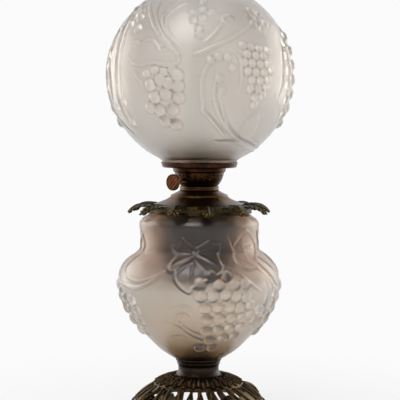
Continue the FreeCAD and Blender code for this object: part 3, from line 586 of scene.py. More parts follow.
# %% Fruit and vines of the globe
# half width and height of the grapes of each bunch, and their places
GLOBE_BUNCHES = [(8.4, 4.8, [
    (-30.9, 472.3), (-24, 479.5), (-18.6, 474.5), (-13.4, 484.5), (-13, 471), (-20.9, 460.4), (-28.4, 456.8),
    (-12.8, 456.5), (-32.5, 443.5), (-26.3, 440.2), (-17.3, 441), (-24, 425.4), (-16.6, 421.7)
]), (6.0, 2.6, [
    (-33, 487), (-27.4, 491.6), (-21.7, 489.4), (-16.4, 493)
]), (6.1, 3.3, [
    (27.2, 524.8), (32.7, 523), (38.3, 520.4), (29.6, 513.3), (35.4, 511.4), (41.3, 511.6), (46.5, 519),
    (26.9, 502.4), (32.5, 501.4), (38.6, 500.4), (45, 502.3), (29.4, 491.1), (35.2, 490), (41.5, 490.3),
    (47.4, 493.2), (32.3, 479.8), (38.4, 479.3), (44.8, 481.9), (31.7, 468.6), (37.5, 468.6), (43.8, 471.1),
    (35.6, 458.1), (41.6, 460.2), (36.4, 447.9)
]), (8.8, 4.9, [
    (78.5, 541), (70.5, 531), (80.5, 522.3), (69.5, 513.5), (80.5, 502.5), (70.2, 494.2), (80.5, 482.6),
    (70, 475.4), (80.8, 463.5), (72, 456), (83.2, 444.3), (75.5, 437.5), (85.5, 424.1)
]), (6.2, 2.9, [
    (43.9, 573.1), (38.9, 566), (45.6, 559.8), (39.6, 553.5), (46.9, 547.1), (52.5, 556), (51, 568.5)
]), (6.4, 3.2, [
    (-67.2, 575.6), (-49.7, 562.7), (-46.6, 547.7), (-60.2, 565.3), (-52.8, 575), (-60, 582.5), (-57.5, 553)
]), (5.6, 2.4, [
    (2.3, 582.8), (2.1, 573.3), (-5.8, 568), (8.4, 568.5), (-4.6, 557.2), (1.6, 560.2), (-0.8, 546.5),
    (-0.6, 537.8)
]), (5.4, 2.8, [
    (6.4, 504.7), (11, 509.2), (16.6, 508), (19.6, 495), (11.4, 481), (13.4, 466.2)
]), (6.0, 2.2, [
    (-67.7, 445), (-56.4, 451.4), (-54.4, 424.9), (-81, 437.1), (-73.4, 515.2), (-72.8, 552.8), (-79, 530),
    (-80, 470), (-78.5, 500)
])]
fruit = []
for half_width, proud, places in GLOBE_BUNCHES:
    board_grapes(fruit, ON_GLOBE, places, half_width, proud)
print(len(fruit), "grapes on the globe's board")

SHEAF = [
    [(-58, 590.8), (-53, 583.8), (-40.2, 565.9), (-32, 548.9), (-26.3, 535.3), (-19.9, 521.8)],
    [(-38.6, 592.1), (-37.4, 576.9), (-33.9, 561.2), (-27.4, 544.6), (-21.6, 529.8), (-17.2, 520.4)],
    [(-20, 590.8), (-28.8, 577.8), (-29.5, 562.9), (-23.4, 541.7), (-17.5, 525.7)],
    [(-10.9, 582.1), (-21.7, 573.5), (-25.3, 560.7), (-22.3, 544.4), (-16.3, 528.3), (-11, 520.3)],
]
board_vines(fruit, ON_GLOBE, [(strand, 1.8) for strand in SHEAF])
VINES = [
    ([(25.6, 553.3), (27.4, 561.4), (23.1, 566.9), (16.6, 563.6), (15.6, 555.8), (20.2, 553)], 1.9),
    ([(17.1, 556.8), (12, 545.9), (7.4, 534.3), (2.4, 526.7)], 1.8),
    ([(37.4, 553), (22.6, 536.4), (13.4, 527.2), (7, 520.8), (0.7, 514), (-4.2, 511.1)], 2.1),
    ([(8, 507.7), (2.9, 493.8), (1, 476.4), (1.1, 458.7), (2.2, 445.6), (2, 437.9), (6, 433), (9.7, 424.9),
      (15, 414.4), (20.2, 405.5)], 2.0),
    ([(10.4, 489.4), (8.3, 472.6), (8.5, 458.7), (10.8, 443), (14.2, 430.1), (19.2, 417), (27.9, 406.4),
      (42.6, 396.9), (74.2, 388)], 2.1),
    ([(13, 453.3), (14.2, 440.5), (18.2, 424.9), (22.8, 414.4), (31.6, 405.4)], 1.7),
    ([(12.1, 399.8), (25.1, 400.4), (34.9, 398.3), (51.6, 391.3), (86, 384.9)], 1.9),
    ([(18.2, 518.9), (23.5, 513.8), (24.9, 503.8), (25.2, 489.6), (25.4, 475.4), (24.2, 461.8)], 1.7),
    ([(54.7, 462.7), (61.9, 447.6), (76.6, 433), (86.7, 418.1)], 2.0),
    ([(84.7, 556.4), (71.7, 540.5), (63.7, 520.9), (61.2, 497.2), (61.5, 471.1), (57, 452)], 2.2),
    ([(40.2, 405), (57.1, 397.9), (86, 389.1)], 1.7),
    ([(-69.4, 572.6), (-64.3, 537.6), (-61.6, 507.4), (-61, 480.7), (-62.9, 454.3), (-60.7, 430.2)], 2.6),
    ([(-60.8, 562.4), (-58.5, 540.6), (-56.4, 513.7), (-55.6, 487.1), (-55.7, 460.7), (-54.3, 434.2),
      (-51.3, 418.2)], 2.2),
    ([(-76.2, 560.3), (-75, 530), (-76, 506), (-70.8, 488), (-70.2, 467.9), (-75.9, 443.2)], 2.8),
    ([(-84, 545), (-83, 515), (-85, 485), (-82, 455), (-74, 424), (-62, 408)], 2.4),
    ([(-43, 493), (-41.5, 486), (-37.4, 477), (-36, 470)], 1.6),
]
board_vines(fruit, ON_GLOBE, VINES)
OVER_LEAF = [
    (-31.4, 502.9), (-37.5, 497.5), (-44.1, 501.7), (-48.7, 509.7), (-47, 517), (-49.3, 526.8),
    (-44.2, 532.1), (-39.7, 525.2), (-35.8, 531.6), (-30.8, 531.3), (-26.7, 524.8), (-25.2, 515.5),
    (-20.2, 520.2), (-15.5, 518.3), (-12.8, 510.3), (-12.4, 502.2), (-17.6, 496.5), (-24.2, 499.8)
]
OVER_VEINS = [
    [(-29.5, 506), (-38, 516), (-44.5, 524)],
    [(-29, 507), (-31, 518), (-33, 526)],
    [(-28, 506), (-20.5, 510), (-16.5, 513)],
]
board_leaf(fruit, ON_GLOBE, OVER_LEAF, OVER_VEINS, 1.6, 1.4, 0.8)
FAN_LEAF = [
    (32.2, 408.4), (30.6, 416.7), (33.5, 426.9), (37.1, 434.8), (41.7, 440), (43.7, 427.9), (46, 416.3),
    (49, 404.5), (40, 403)
]
board_plates(fruit, ON_GLOBE, [FAN_LEAF], 0.9, rim=0.4)
FAN_VEINS = [
    ([(32.2, 408.4), (32, 420), (37.1, 434.8)], 1.5),
    ([(36, 406), (38.5, 422), (41.5, 438)], 1.5),
    ([(41, 404), (43, 416), (43.2, 428)], 1.5),
]
board_vines(fruit, ON_GLOBE, FAN_VEINS, above=0.5)
press(globe, fruit, ON_GLOBE)
settle(globe, satin_glass, "satin_glass", "globe", "globe")

# %% [markdown]
# ## The glass body
#
# The vase is free-blown in shape but moulded like the globe: a foot that just fits the cup, a wide belly, a
# waist and a straight neck that holds the crown. A large leaf hangs from the neck over the main bunch, a
# double vine curls beside it, and more bunches go round the belly and make its outline lumpy.

# %% The body's section
BODY_RADIUS, BODY_WALL, BODY_FLOOR = 110.5, 4.0, 101.2
BODY_ROWS, BODY_STEPS = 176, 452        # of the fine grid of its outer skin
LEAST_UPRIGHT = 0.55                    # grapes are drawn no lower than this where the wall lies flat
BODY_SIDE = [
    (32, 97), (38.9, 101.1), (51.2, 109.2), (60.6, 117.6), (77, 134.6), (90.8, 151.5), (100.9, 168.8),
    (107.3, 185.4), (110.5, 202), (109.2, 214.7), (106.1, 223.3), (100.8, 231.6), (93, 239.7), (86, 245.9),
    (81.9, 252), (81.2, 265.3), (82.7, 283), (82, 287.5), (79.1, 291.5), (74, 295), (69, 298.1), (66.5, 301)
]
side = smooth_run(BODY_SIDE, BODY_ROWS)
inside = [point for point in inner_side(side, BODY_WALL)[6::8] if point.y > BODY_FLOOR + 1.3]
body_section = side + section((66.5, 304.6), (66.1, 305), (62.9, 305), (62.5, 304.6), (62.5, 302))
body_section += inside[::-1] + section((29.0, BODY_FLOOR), (12.2, BODY_FLOOR), (12.2, 97.0))
body_glass = turned("satin_glass_body", body_section, BODY_STEPS, sharp=60, outside=len(side))


def body_shape(height):
    """The body's smooth radius at a height, and how upright its wall is there."""
    for a, b in zip(side, side[1:]):
        if a.y <= height <= b.y:
            return a.x, max(LEAST_UPRIGHT, abs(b.y - a.y) / (b - a).length)
    return BODY_RADIUS, 1.0


ON_BODY = {"degree": math.radians(1) * BODY_RADIUS, "widest": BODY_RADIUS, "shape": body_shape, "swell": 1.2}

# %% Fruit and vines of the body
# half width and height of the grapes of each bunch, and their places
BODY_BUNCHES = [(8.3, 5.0, [
    (0.6, 212), (8.6, 223), (19.6, 222.6), (25.5, 210.6), (34, 211), (14, 210), (1.4, 195.7), (9.6, 195.5),
    (18.6, 197), (27, 194.6), (35.6, 193.4), (4.8, 179.6), (13.8, 180.6), (22.6, 180), (31.2, 179),
    (39.8, 182.3), (6.2, 163.6), (16.4, 164.7), (25.6, 165), (34.4, 164.2), (42.2, 167.6), (6.6, 147.4),
    (16.6, 148.4), (26.6, 150), (37, 150.6), (11, 133), (24.9, 135.4), (36.3, 136.4), (1.3, 121.5), (17, 121)
]), (8.6, 5.6, [
    (51.6, 174), (51.8, 159), (62, 168.5), (62.4, 152.6), (73, 162.5), (71.6, 147.5), (82.5, 153.3),
    (80.4, 138), (85.2, 200.1), (83.9, 184.6), (83.9, 168.6), (73, 178.4), (71.8, 194)
]), (8.4, 5.2, [
    (-85.2, 201.3), (-84, 185.1), (-82.5, 168.4), (-82.6, 152), (-80.5, 138.3), (-57.4, 185.2),
    (-54.9, 170.5), (-57.3, 156.7), (-67.7, 186.7), (-65.1, 171.4), (-74.5, 194.6), (-74, 177.5),
    (-70.7, 157.9), (-69.5, 143), (-62, 141.5)
])]
fruit = []
for half_width, proud, places in BODY_BUNCHES:
    board_grapes(fruit, ON_BODY, places, half_width, proud)

LEAF_EDGE = [
    (-15.4, 270.4), (-19.4, 263.6), (-21.3, 258.5), (-26.5, 259.6), (-24.3, 252), (-20.3, 246.9),
    (-23.6, 240.7), (-24.4, 230.8), (-21, 226.3), (-17.3, 228.7), (-17.6, 220), (-14.6, 211.4), (-11, 205.4),
    (-6.1, 200), (-4.8, 207.6), (-0.7, 210.2), (4.8, 216.6), (10.5, 219), (15.1, 223.9), (20.2, 231.4),
    (18, 239.7), (17.4, 247), (19.8, 254.6), (18.9, 264.9), (14, 262.8), (11.1, 266.5), (6.4, 264.3),
    (0.7, 258), (-3, 255.4), (-6.8, 260.3), (-11.6, 262.8)
]
LEAF_VEINS = [
    [(-3.8, 254.8), (-4.2, 240.1), (-5.2, 227.9), (-6.2, 207.8)],
    [(-3.7, 248.3), (-9.6, 243.6), (-15.8, 239.8), (-22, 234.9)],
    [(-4.2, 241.1), (-10.1, 233.9), (-15, 228.9), (-16.8, 219.3)],
    [(-3.8, 249.6), (3.4, 244.9), (9.8, 240), (16, 234)],
    [(-3.5, 242.5), (3, 232.9), (8.8, 222.2)],
    [(-3.8, 248.6), (-10.5, 254.9), (-16.4, 264.7)],
    [(-2.9, 248.6), (4.5, 256.3), (13.1, 262.5)],
]
board_leaf(fruit, ON_BODY, LEAF_EDGE, LEAF_VEINS, 2.0, 1.9, 1.0, ends=(0.9, 0.3))
SIDE_LEAF = [
    (32.5, 255.9), (36.8, 250.9), (31.7, 243.7), (32.5, 236.3), (36.3, 230), (42, 229.4), (49.6, 231),
    (53.9, 240.8), (66.4, 247.9), (67.5, 258.7), (58.5, 270.6), (50, 280.1), (43.4, 272.9), (38.9, 264.7)
]
SIDE_VEINS = [
    [(44.4, 275.9), (46.4, 258.1), (46.4, 245), (42.7, 232.1)],
    [(46.4, 258.1), (55, 262), (62, 260)],
    [(46, 250), (42, 253), (38.5, 256)],
    [(46.4, 247), (42, 244), (38, 241)],
    [(46.2, 250), (51, 250.5), (56, 250)],
]
board_leaf(fruit, ON_BODY, SIDE_LEAF, SIDE_VEINS, 2.0, 1.9, 1.0, ends=(0.9, 0.3))
VINES = [
    ([(-25.4, 228.8), (-31.1, 218.8), (-36.5, 211.7), (-43.7, 205.4), (-52.1, 202), (-62.2, 203.8),
      (-77.9, 209.1), (-88.9, 219.9), (-90.6, 230.7), (-83.7, 240.5), (-67.8, 252.4)], 2.5),
    ([(-25.4, 228.8), (-32.1, 221), (-38.4, 215.4), (-45.8, 211.7), (-53.9, 211.7), (-63.1, 215.7),
      (-70.8, 222.7), (-71.5, 231.3), (-67.9, 240.8), (-62.8, 248.9)], 1.9),
    ([(-6.8, 163.1), (-9.6, 173.1), (-13.7, 171.5), (-17.5, 163.1), (-15.4, 155.4), (-11.2, 160.5)], 1.7),
    ([(-22.6, 157.3), (-17.6, 153.8), (-13.3, 146.6), (-7.4, 139.8), (0.2, 134.3), (9.8, 129.3)], 1.8),
    ([(-18, 159.7), (-12.4, 153.7), (-6.9, 147.3), (-0.7, 142.9), (7.1, 138.7)], 1.5),
    ([(-31.6, 157.4), (-25.3, 163), (-21.7, 155.4)], 1.5),
    ([(-29.8, 136.3), (-19.9, 141.6), (-12.4, 138)], 1.5),
    ([(-31.6, 133.7), (-33.4, 122.2), (-30.1, 114.1)], 1.5),
    ([(-22.6, 174.8), (-14.6, 183.7), (-6.8, 182.5), (-4.1, 174)], 1.5),
    ([(28.1, 274.2), (33.7, 255.8), (37.9, 243.2), (44.4, 235.1), (52.4, 227.7), (58.3, 218.9), (63.8, 205.8),
      (70.9, 192.6), (72.3, 181.1)], 2.2),
    ([(50.9, 243.8), (55.2, 233.5), (60.3, 224.9), (66.5, 212), (77.6, 199.4), (86.1, 188)], 2.2),
    ([(62, 243.8), (69, 230), (79, 220), (88, 212)], 2.2),
    ([(54.6, 217.6), (58.7, 202.7), (60, 187.4), (57.8, 176.7), (51.8, 169.8)], 2.0),
    ([(18.3, 238), (24, 232.1), (29.7, 226.6), (35.1, 217.1), (41.6, 206.4), (48.9, 199.5)], 2.1),
    ([(-73.1, 278.5), (-68.1, 266), (-62.1, 254.4), (-69.5, 246.5)], 2.4),
    ([(-63.1, 277.5), (-73, 268), (-79.1, 257.4), (-75.5, 247.5)], 2.2),
    ([(72.6, 279.6), (77.6, 267), (82.6, 255.1), (76.6, 246.4)], 2.4),
    ([(83.6, 277.6), (76.6, 262), (71.6, 252.1)], 2.2),
]
board_vines(fruit, ON_BODY, VINES)
press(body_glass, fruit, ON_BODY)
settle(body_glass, satin_glass, "satin_glass", "lamp_base", "glass_body")

# %% [markdown]
# ## Cast leaves
#
# The crown, the collar and the legs are cast in brass from carved leaf patterns. A leaf starts as a flat
# grid. Its middle line follows a spine of (radius, height), its margin is cut into round lobes by sharp
# notches, and a ridge runs out to each lobe like a finger. The sides droop, a midrib stands up, and a
# Solidify modifier gives the thickness of the casting. One leaf is modelled at the front, and its copies are
# turned round the lamp.

# %% Helpers for cast leaves
LOBE_ROUND = 0.7        # how square the lobes and ridges of a leaf are
RIDGE_LEAN = 0.2        # how far a ridge runs towards the tip on its way out
RUN_POINTS = 81         # points along a leaf's spine
SOFT_EDGE = 50          # degrees, up to which a cast edge looks soft
MIDRIB = 0.09           # half width of a leaf's midrib, as a share of the leaf's
DROOP_BEND = 1.7        # above 1, a leaf's side bends down more and more on its way out


def at_share(run, share):
    """The place at a share of a run's length, and the direction of the run there."""
    place = min(max(share, 0.0), 1.0) * (len(run) - 1)
    i = min(int(place), len(run) - 2)
    return run[i].lerp(run[i + 1], place - i), (run[i + 1] - run[i]).normalized()


def cast_leaf(name, spine, half_widths, lobes, notch, droop, flute, thick, grid=(22, 44)):
    """One leaf at the front. Its half widths are given at even shares of its spine."""
    select_only()
    bpy.ops.mesh.primitive_grid_add(x_subdivisions=grid[0], y_subdivisions=grid[1], size=2)
    leaf = bpy.context.active_object
    leaf.name = leaf.data.name = name
    run = smooth_run(spine, RUN_POINTS)
    last = len(half_widths) - 1
    widths = smooth_run([(i / last, width) for i, width in enumerate(half_widths)], RUN_POINTS)
    for corner in leaf.data.vertices:
        side, share = abs(corner.co.x), (corner.co.y + 1) / 2
        finger = abs(math.sin(math.pi * lobes * (share - RIDGE_LEAN * side))) ** LOBE_ROUND
        margin = abs(math.sin(math.pi * lobes * (share - RIDGE_LEAN))) ** LOBE_ROUND
        middle, along = at_share(run, share)
        up = Vector((-along.y, along.x))
        half = at_share(widths, share)[0].y * (1 - notch * (1 - margin))
        rise = flute * ((finger - 0.5) * min(1.0, side * 3) + math.exp(-(side / MIDRIB) ** 2))
        rise -= droop * side ** DROOP_BEND * math.sin(math.pi * (0.15 + 0.7 * share))
        point = middle + up * rise
        corner.co = (math.copysign(side, corner.co.x) * half * MM, -point.x * MM, point.y * MM)
    return cleaned(modified(leaf, "SOLIDIFY", thickness=thick * MM, offset=-1.0), SOFT_EDGE)


def turned_copies(piece, azimuths):
    """Copies of a piece that is modelled at the front, turned to azimuths in degrees."""
    return moved_copies(piece, [Matrix.Rotation(math.radians(azimuth), 4, "Z") for azimuth in azimuths])


def evenly(piece, count, first=0.0):
    """Copies of a piece, evenly round the lamp from a first azimuth."""
    return turned_copies(piece, [first + 360 * i / count for i in range(count)])


def small_ball(place, radii, segments=10, rings=6):
    """A small ball or bead, with its half sizes across, in depth and in height, at a place in millimetres."""
    select_only()
    bpy.ops.mesh.primitive_uv_sphere_add(segments=segments, ring_count=rings, radius=MM)
    ball = bpy.context.active_object
    ball.data.transform(Matrix.Translation(Vector(place) * MM) @ Matrix.Diagonal((*radii, 1)))
    bpy.ops.object.shade_smooth()
    return ball


def cut_with(piece, cutters):
    """Cuts the joined cutters out of a piece."""
    cutter = joined(cutters[0], cutters[1:])
    modified(piece, "BOOLEAN", object=cutter, operation="DIFFERENCE")
    select_only(cutter)
    bpy.ops.object.delete()
    return piece


# %% [markdown]
# ## The crown
#
# A ring cast in brass is plastered on the neck of the glass. Twelve drooping leaves grow out of it, and
# between them a fringe of small scallops hangs over its skirt.

# %% Crown
CROWN_LEAVES, CROWN_FIRST = 12, 8.0
FRINGE_COUNT, FRINGE_PLACE, FRINGE_SIZE = 72, (0, -73.9, 308.8), (2.7, 1.3, 2.6)
crown_section = section(
    (57.1, 306.1), (71.4, 306.1), (71.5, 299.7), (72.3, 299.5), (72.8, 300), (72.8, 301), (72.3, 301.8),
    (72.1, 304.6), (72.6, 306), (73.6, 307.6), (73.9, 309.8), (73, 311), (71, 311.4), (66.5, 310.6),
    (62.6, 311.2), (61.9, 310.8), (61.8, 309.1), (57.1, 308.9)
)
crown = turned("cast_leaf_crown", crown_section, 144)
leaf = cast_leaf("crown_leaf", [
    (63.5, 309.8), (70, 310.6), (79, 310.6), (87, 308.9), (93.4, 304.6), (97.8, 299.6)
], [9.0, 12.0, 13.5, 13.5, 12.0, 7.0], lobes=5.5, notch=0.40, droop=2.6, flute=1.7, thick=1.1)
leaves = evenly(leaf, CROWN_LEAVES, CROWN_FIRST)
fringe = evenly(small_ball(FRINGE_PLACE, FRINGE_SIZE), FRINGE_COUNT, 180 / FRINGE_COUNT)
# the crown takes the darker brass, which carries painted shade
settle(joined(crown, leaves + fringe), shade_darkened_brass, "antique_brass", "lamp_base", "crown_ring")

# %% [markdown]
# ## The font's dome
#
# The tank's shoulder is spun from sheet brass over a chuck: a flange with a rounded lip, a long hollow sweep
# with a bead near its top, and the fine lines that the spinning tool leaves.

# %% Font dome
SHEET = 1.2             # the thickness of the brass sheet
LINE_HEIGHT = 0.07      # of the lines that the spinning tool leaves
LINE_TURN = 2.1         # radians of their wave from one point to the next
DOME_SWEEP = [(60.2, 312.1), (55.8, 313.9), (50, 316.2), (45, 318.4), (41.6, 320.6), (39.6, 322.2)]
NECK_SWEEP = [(37.3, 324.9), (34.6, 326.4), (31.6, 327.8), (29.6, 328.9), (27.9, 329.9)]
sweep = smooth_run(DOME_SWEEP, 46)
lined = [point + Vector((0, LINE_HEIGHT * math.sin(LINE_TURN * i))) for i, point in enumerate(sweep)]
dome_section = section((55.2, 310.6), (61.2, 310.6), (61.5, 311.1), (61.4, 311.9)) + lined
dome_section += section((39.2, 323.0), (39.3, 323.9), (38.7, 324.7)) + smooth_run(NECK_SWEEP, 14)
dome_section += section((24.4, 329.9), (24.4, 328.8))
dome_section += inner_side(smooth_run(DOME_SWEEP + NECK_SWEEP, 24), SHEET)[::-1]
dome = turned("spun_font_dome", dome_section, 144)
settle(dome, olive_bronze, "olive_bronze", "font", "font_dome")

# %% Burner collar
collar_section = section(
    (25.45, 330.05), (26.3, 330.1), (27.1, 331), (27.2, 332), (26.5, 332.9), (26.5, 333.4), (27.1, 334.2),
    (27.1, 335.4), (26.4, 336.4), (25.45, 336.9)
)
burner_collar = turned("turned_burner_collar", collar_section, 96)
settle(burner_collar, olive_bronze, "dark_bronze", "font", "burner_collar")

# %% [markdown]
# ## The burner
#
# The basket is pressed from sheet brass, with two rows of air holes and a rolled line under its rim. A turned
# ring with a chamfered edge sits on the rim and carries the globe. The wick wheel has a knurled edge and
# slanted ridges across its face.

# %% Burner bowl
BOWL_SIDE = [(25.1, 337.2), (26.6, 338), (29, 341.4), (31.6, 346.4), (33.4, 351.8), (34.1, 355.2)]
bowl_side = smooth_run(BOWL_SIDE, 26)
bowl_section = bowl_side + section(
    (34.9, 355.5), (35.4, 356.1), (35.2, 356.8), (34.6, 357), (34.6, 361.6), (34.2, 362), (33.6, 361.9),
    (33.4, 357.2), (33.2, 355.8)
)
bowl_section += inner_side(bowl_side, SHEET)[::-1]
bowl_section += section((23.4, 337.9), (23.9, 331.3), (18.5, 331.2), (18.5, 330.1), (25.1, 330.1))
bowl = turned("pressed_burner_bowl", bowl_section, 192)
RAISER_AZIMUTH = -40.0
RACK_PLACE, RACK_ROOM = Vector((5.4, -17.2, 330.7)), (4.4, 10.2, 6.0)      # the rack's way through the floor
AIR_HOLES, AIR_HOLE_RADIUS, AIR_HOLE_ROWS = 24, 1.3, (346.4, 351.4)
select_only()
bpy.ops.mesh.primitive_cube_add(size=MM, location=RACK_PLACE * MM, scale=RACK_ROOM)
bpy.ops.object.transform_apply(location=True, rotation=True, scale=True)
cutters = turned_copies(bpy.context.active_object, [RAISER_AZIMUTH])
for row, height in enumerate(AIR_HOLE_ROWS):
    select_only()
    bpy.ops.mesh.primitive_cylinder_add(
        vertices=12, radius=AIR_HOLE_RADIUS * MM, depth=12 * MM,
        location=(0, -32 * MM, height * MM), rotation=(math.radians(90), 0, 0))
    bpy.ops.object.transform_apply(location=True, rotation=True)
    cutters += evenly(bpy.context.active_object, AIR_HOLES, RAISER_AZIMUTH + 180 * (1 + row) / AIR_HOLES)
settle(cut_with(bowl, cutters), etched_bronze, "dark_bronze", "font", "burner_bowl")

# %% Shade ring
ring_section = section(
    (34.95, 357.4), (36.5, 357.4), (36.6, 357.9), (36.6, 361.9), (49.2, 362.1), (50.3, 362.3), (51.4, 363.6),
    (51.9, 365.2), (52.4, 366.9), (53, 367.8), (53, 368.9), (52.5, 369.5), (51.9, 369.4), (51.6, 368.8),
    (51.6, 363.4), (49, 363.2), (34.95, 363.2)
)
settle(turned("turned_shade_ring", ring_section, 160), dark_bronze, "dark_bronze", "shade_ring", "shade_ring")

# %% Wick wheel
WHEEL_NEAR, WHEEL_FAR, WHEEL_RADIUS, RAISER_HEIGHT = 53.5, 57.5, 11.4, 343.2
FACE_RADIUS, FACE_PITCH, FACE_DEPTH, FACE_SLANT = 9.3, 4.2, 0.35, math.radians(-40)
FACE_RINGS, FACE_DISH = 19, 0.03        # rings of corners on the face, and its fall from one to the next
KNURLS, KNURL_FROM, KNURL_DEPTH, KNURL_TWIST = 40, 9.6, 0.45, 0.05
wheel_section = section(
    (0.2, 53.6), (3.4, 53.6), (3.6, 54.1), (8.6, 54.1), (9.2, 53.6), (10.6, 53.6), (11.3, 54), (11.4, 54.7),
    (11.4, 55.4), (11.4, 56.2), (11.3, 56.9), (10.6, 57.4), (9.9, 57.4), (9.6, 57.2)
)
wheel_section += section(*[(9.2 - 0.5 * i, 57.2 - FACE_DISH * i) for i in range(FACE_RINGS)])
wheel = turned("knurled_wick_wheel", wheel_section, 160, sharp=30)
for corner in wheel.data.vertices:
    away = corner.co.xy.length / MM
    if away < FACE_RADIUS and corner.co.z / MM > 0.5 * (WHEEL_NEAR + WHEEL_FAR):
        along = (corner.co.x * math.cos(FACE_SLANT) + corner.co.y * math.sin(FACE_SLANT)) / MM
        corner.co.z -= FACE_DEPTH * MM * (1 + math.cos(2 * math.pi * along / FACE_PITCH))
    if away > KNURL_FROM:
        turn = math.atan2(corner.co.y, corner.co.x) + KNURL_TWIST * (corner.co.z / MM - WHEEL_NEAR)
        dip = KNURL_DEPTH * (0.5 - 0.5 * math.cos(KNURLS * turn))
        dip *= (away - KNURL_FROM) / (WHEEL_RADIUS - KNURL_FROM)
        corner.co.x *= 1 - dip / away
        corner.co.y *= 1 - dip / away
wheel.data.transform(Matrix.Rotation(math.radians(RAISER_AZIMUTH), 4, "Z")
                     @ Matrix.Translation((0, 0, RAISER_HEIGHT * MM))
                     @ Matrix.Rotation(math.radians(90), 4, "X"))
settle(wheel, copper_brass, "copper_brass", "wick_wheel", "wick_wheel")

# %% [markdown]
# ## Chimney and wick
#
# The chimney is clear glass, blown with a bulge over the flame. The wick is a tube of knitted cotton.

# %% Chimney and wick
CHIMNEY_SIDE = [
    (32, 358.4), (32, 376), (33.9, 396.4), (31.4, 424.3), (25.6, 465), (22.4, 515.8), (21.12, 564),
    (21.12, 611.6)
]
CHIMNEY_WALL = 1.8
chimney_side = smooth_run(CHIMNEY_SIDE, 90)
chimney_section = chimney_side + section((20.5, 612.2), (19.6, 611.7))
chimney_section += inner_side(chimney_side, CHIMNEY_WALL)[::-1]
settle(turned("clear_glass_chimney", chimney_section, 96), clear_glass, "clear_glass", "chimney", "chimney")

WICK_INSIDE, WICK_OUTSIDE, WICK_LOW, WICK_TOP = 14.4, 16.9, 251.0, 373.0
WICK_ROWS, WICK_RIBS, STITCH_DEPTH, RIB_SHARE = 164, 48, 0.22, 0.008
wick_rise = (WICK_TOP - WICK_LOW) / WICK_ROWS
wick_outer = [Vector((WICK_OUTSIDE - STITCH_DEPTH * (i % 2), WICK_LOW + wick_rise * i))
              for i in range(WICK_ROWS + 1)]
wick_inner = [Vector((WICK_INSIDE, point.y)) for point in wick_outer[::-8]]
wick = turned("knitted_cotton_wick", wick_outer + wick_inner, 96)
for corner in wick.data.vertices:
    turn = math.atan2(corner.co.y, corner.co.x)
    if corner.co.xy.length > 0.5 * (WICK_INSIDE + WICK_OUTSIDE) * MM:
        corner.co.xy *= 1 - RIB_SHARE * (0.5 + 0.5 * math.cos(WICK_RIBS * turn))
settle(wick, cotton, "cotton", "wick", "wick")

# %% [markdown]
# ## Stem and cup
#
# The stem is spun brass, with a bead at its foot, a waist and a fine groove. The cup above it takes the
# glass.

# %% Stem and cup
stem_section = section(
    (27.2, 73.05), (30.8, 73.1), (31.3, 73.8), (31.2, 74.8), (30.3, 76.3), (29.3, 77.9), (28.6, 79.6),
    (28.1, 82), (28.2, 85.6), (28.4, 86.5), (28, 86.8), (28, 87.3), (28.6, 87.6), (29.4, 89.2), (30, 90.9),
    (27.2, 90.9)
)
settle(turned("spun_stem", stem_section, 96), smoked_bronze, "dark_bronze", "lamp_base", "stem_collar")
cup_section = section(
    (12.2, 94.1), (27.4, 94.1), (27.4, 91.1), (29.9, 91.1), (30.2, 92.4), (30.8, 94), (31.8, 95.4),
    (31.9, 95.9), (12.2, 95.9)
)
settle(turned("flared_glass_cup", cup_section, 96), smoked_bronze, "dark_bronze", "lamp_base", "glass_cup")

# %% [markdown]
# ## The foot
#
# The foot is one pierced casting. Its skirt slopes down from the plate under the collar, and each panel
# between two legs has seven openings, six upright and one arched. Between them run fronds that end in small
# scrolls, and a row of beads goes round the lower edge. Each of the four legs is an S-shaped scroll under an
# acanthus leaf, and rolls up on the floor into a toe. A ruffled collar, two rows of small leaves, lies round
# the plate.

# %% Helpers for work on the skirt
SKIRT_SIDE = [(58.5, 65.2), (65.2, 59.2), (73.2, 54), (81, 47.4), (88, 40.6), (93.8, 34.6)]
SKIRT_WALL = 3.5
FROND_TURN = 50         # degrees back from a leg, where the fronds begin to curl the other way
BEADS, BEAD_RADIUS, BEAD_RISE = 96, 1.9, 3.0
LEGS, FIRST_LEG = 4, 32.0
skirt_side = smooth_run(SKIRT_SIDE, 61)
SKIRT_LENGTH = sum((b - a).length for a, b in zip(skirt_side, skirt_side[1:]))


def on_skirt(azimuth, across, down, above):
    """A place on the skirt: so many mm beside an azimuth, down from the plate, and above the surface."""
    place, along = at_share(skirt_side, down / SKIRT_LENGTH)
    turn = math.radians(azimuth) + across / place.x
    place = place + Vector((-along.y, along.x)) * above
    return Vector((place.x * math.sin(turn), -place.x * math.cos(turn), place.y)) * MM


def drawn_tubes(lines, corners=2):
    """Round tubes along smooth lines, each given as its places and its half width at each of them."""
    drawn = drawn_curve(lines, resolution=5)
    drawn.data.bevel_depth = MM
    drawn.data.bevel_resolution = corners
    drawn.data.use_fill_caps = True
    bpy.ops.object.convert(target="MESH")
    return cleaned(bpy.context.active_object, SOFT_EDGE)


# %% Pierced skirt
foot_section = skirt_side[::-1] + section((57.4, 65.8), (12.3, 66), (12.3, 62.1), (52.4, 62.1))
foot_section += inner_side(skirt_side[::-1], SKIRT_WALL)[::-1][4:]
foot = turned("pierced_scroll_foot", foot_section, 168)
UPRIGHT = [(-0.4, 4.6), (0, 10.5), (0.6, 16), (1.6, 22)]
ARCHED = [(-5.6, 20.5), (-5.2, 13.5), (-2.8, 8.6), (1.8, 7.4), (5, 10.8), (4.6, 16)]
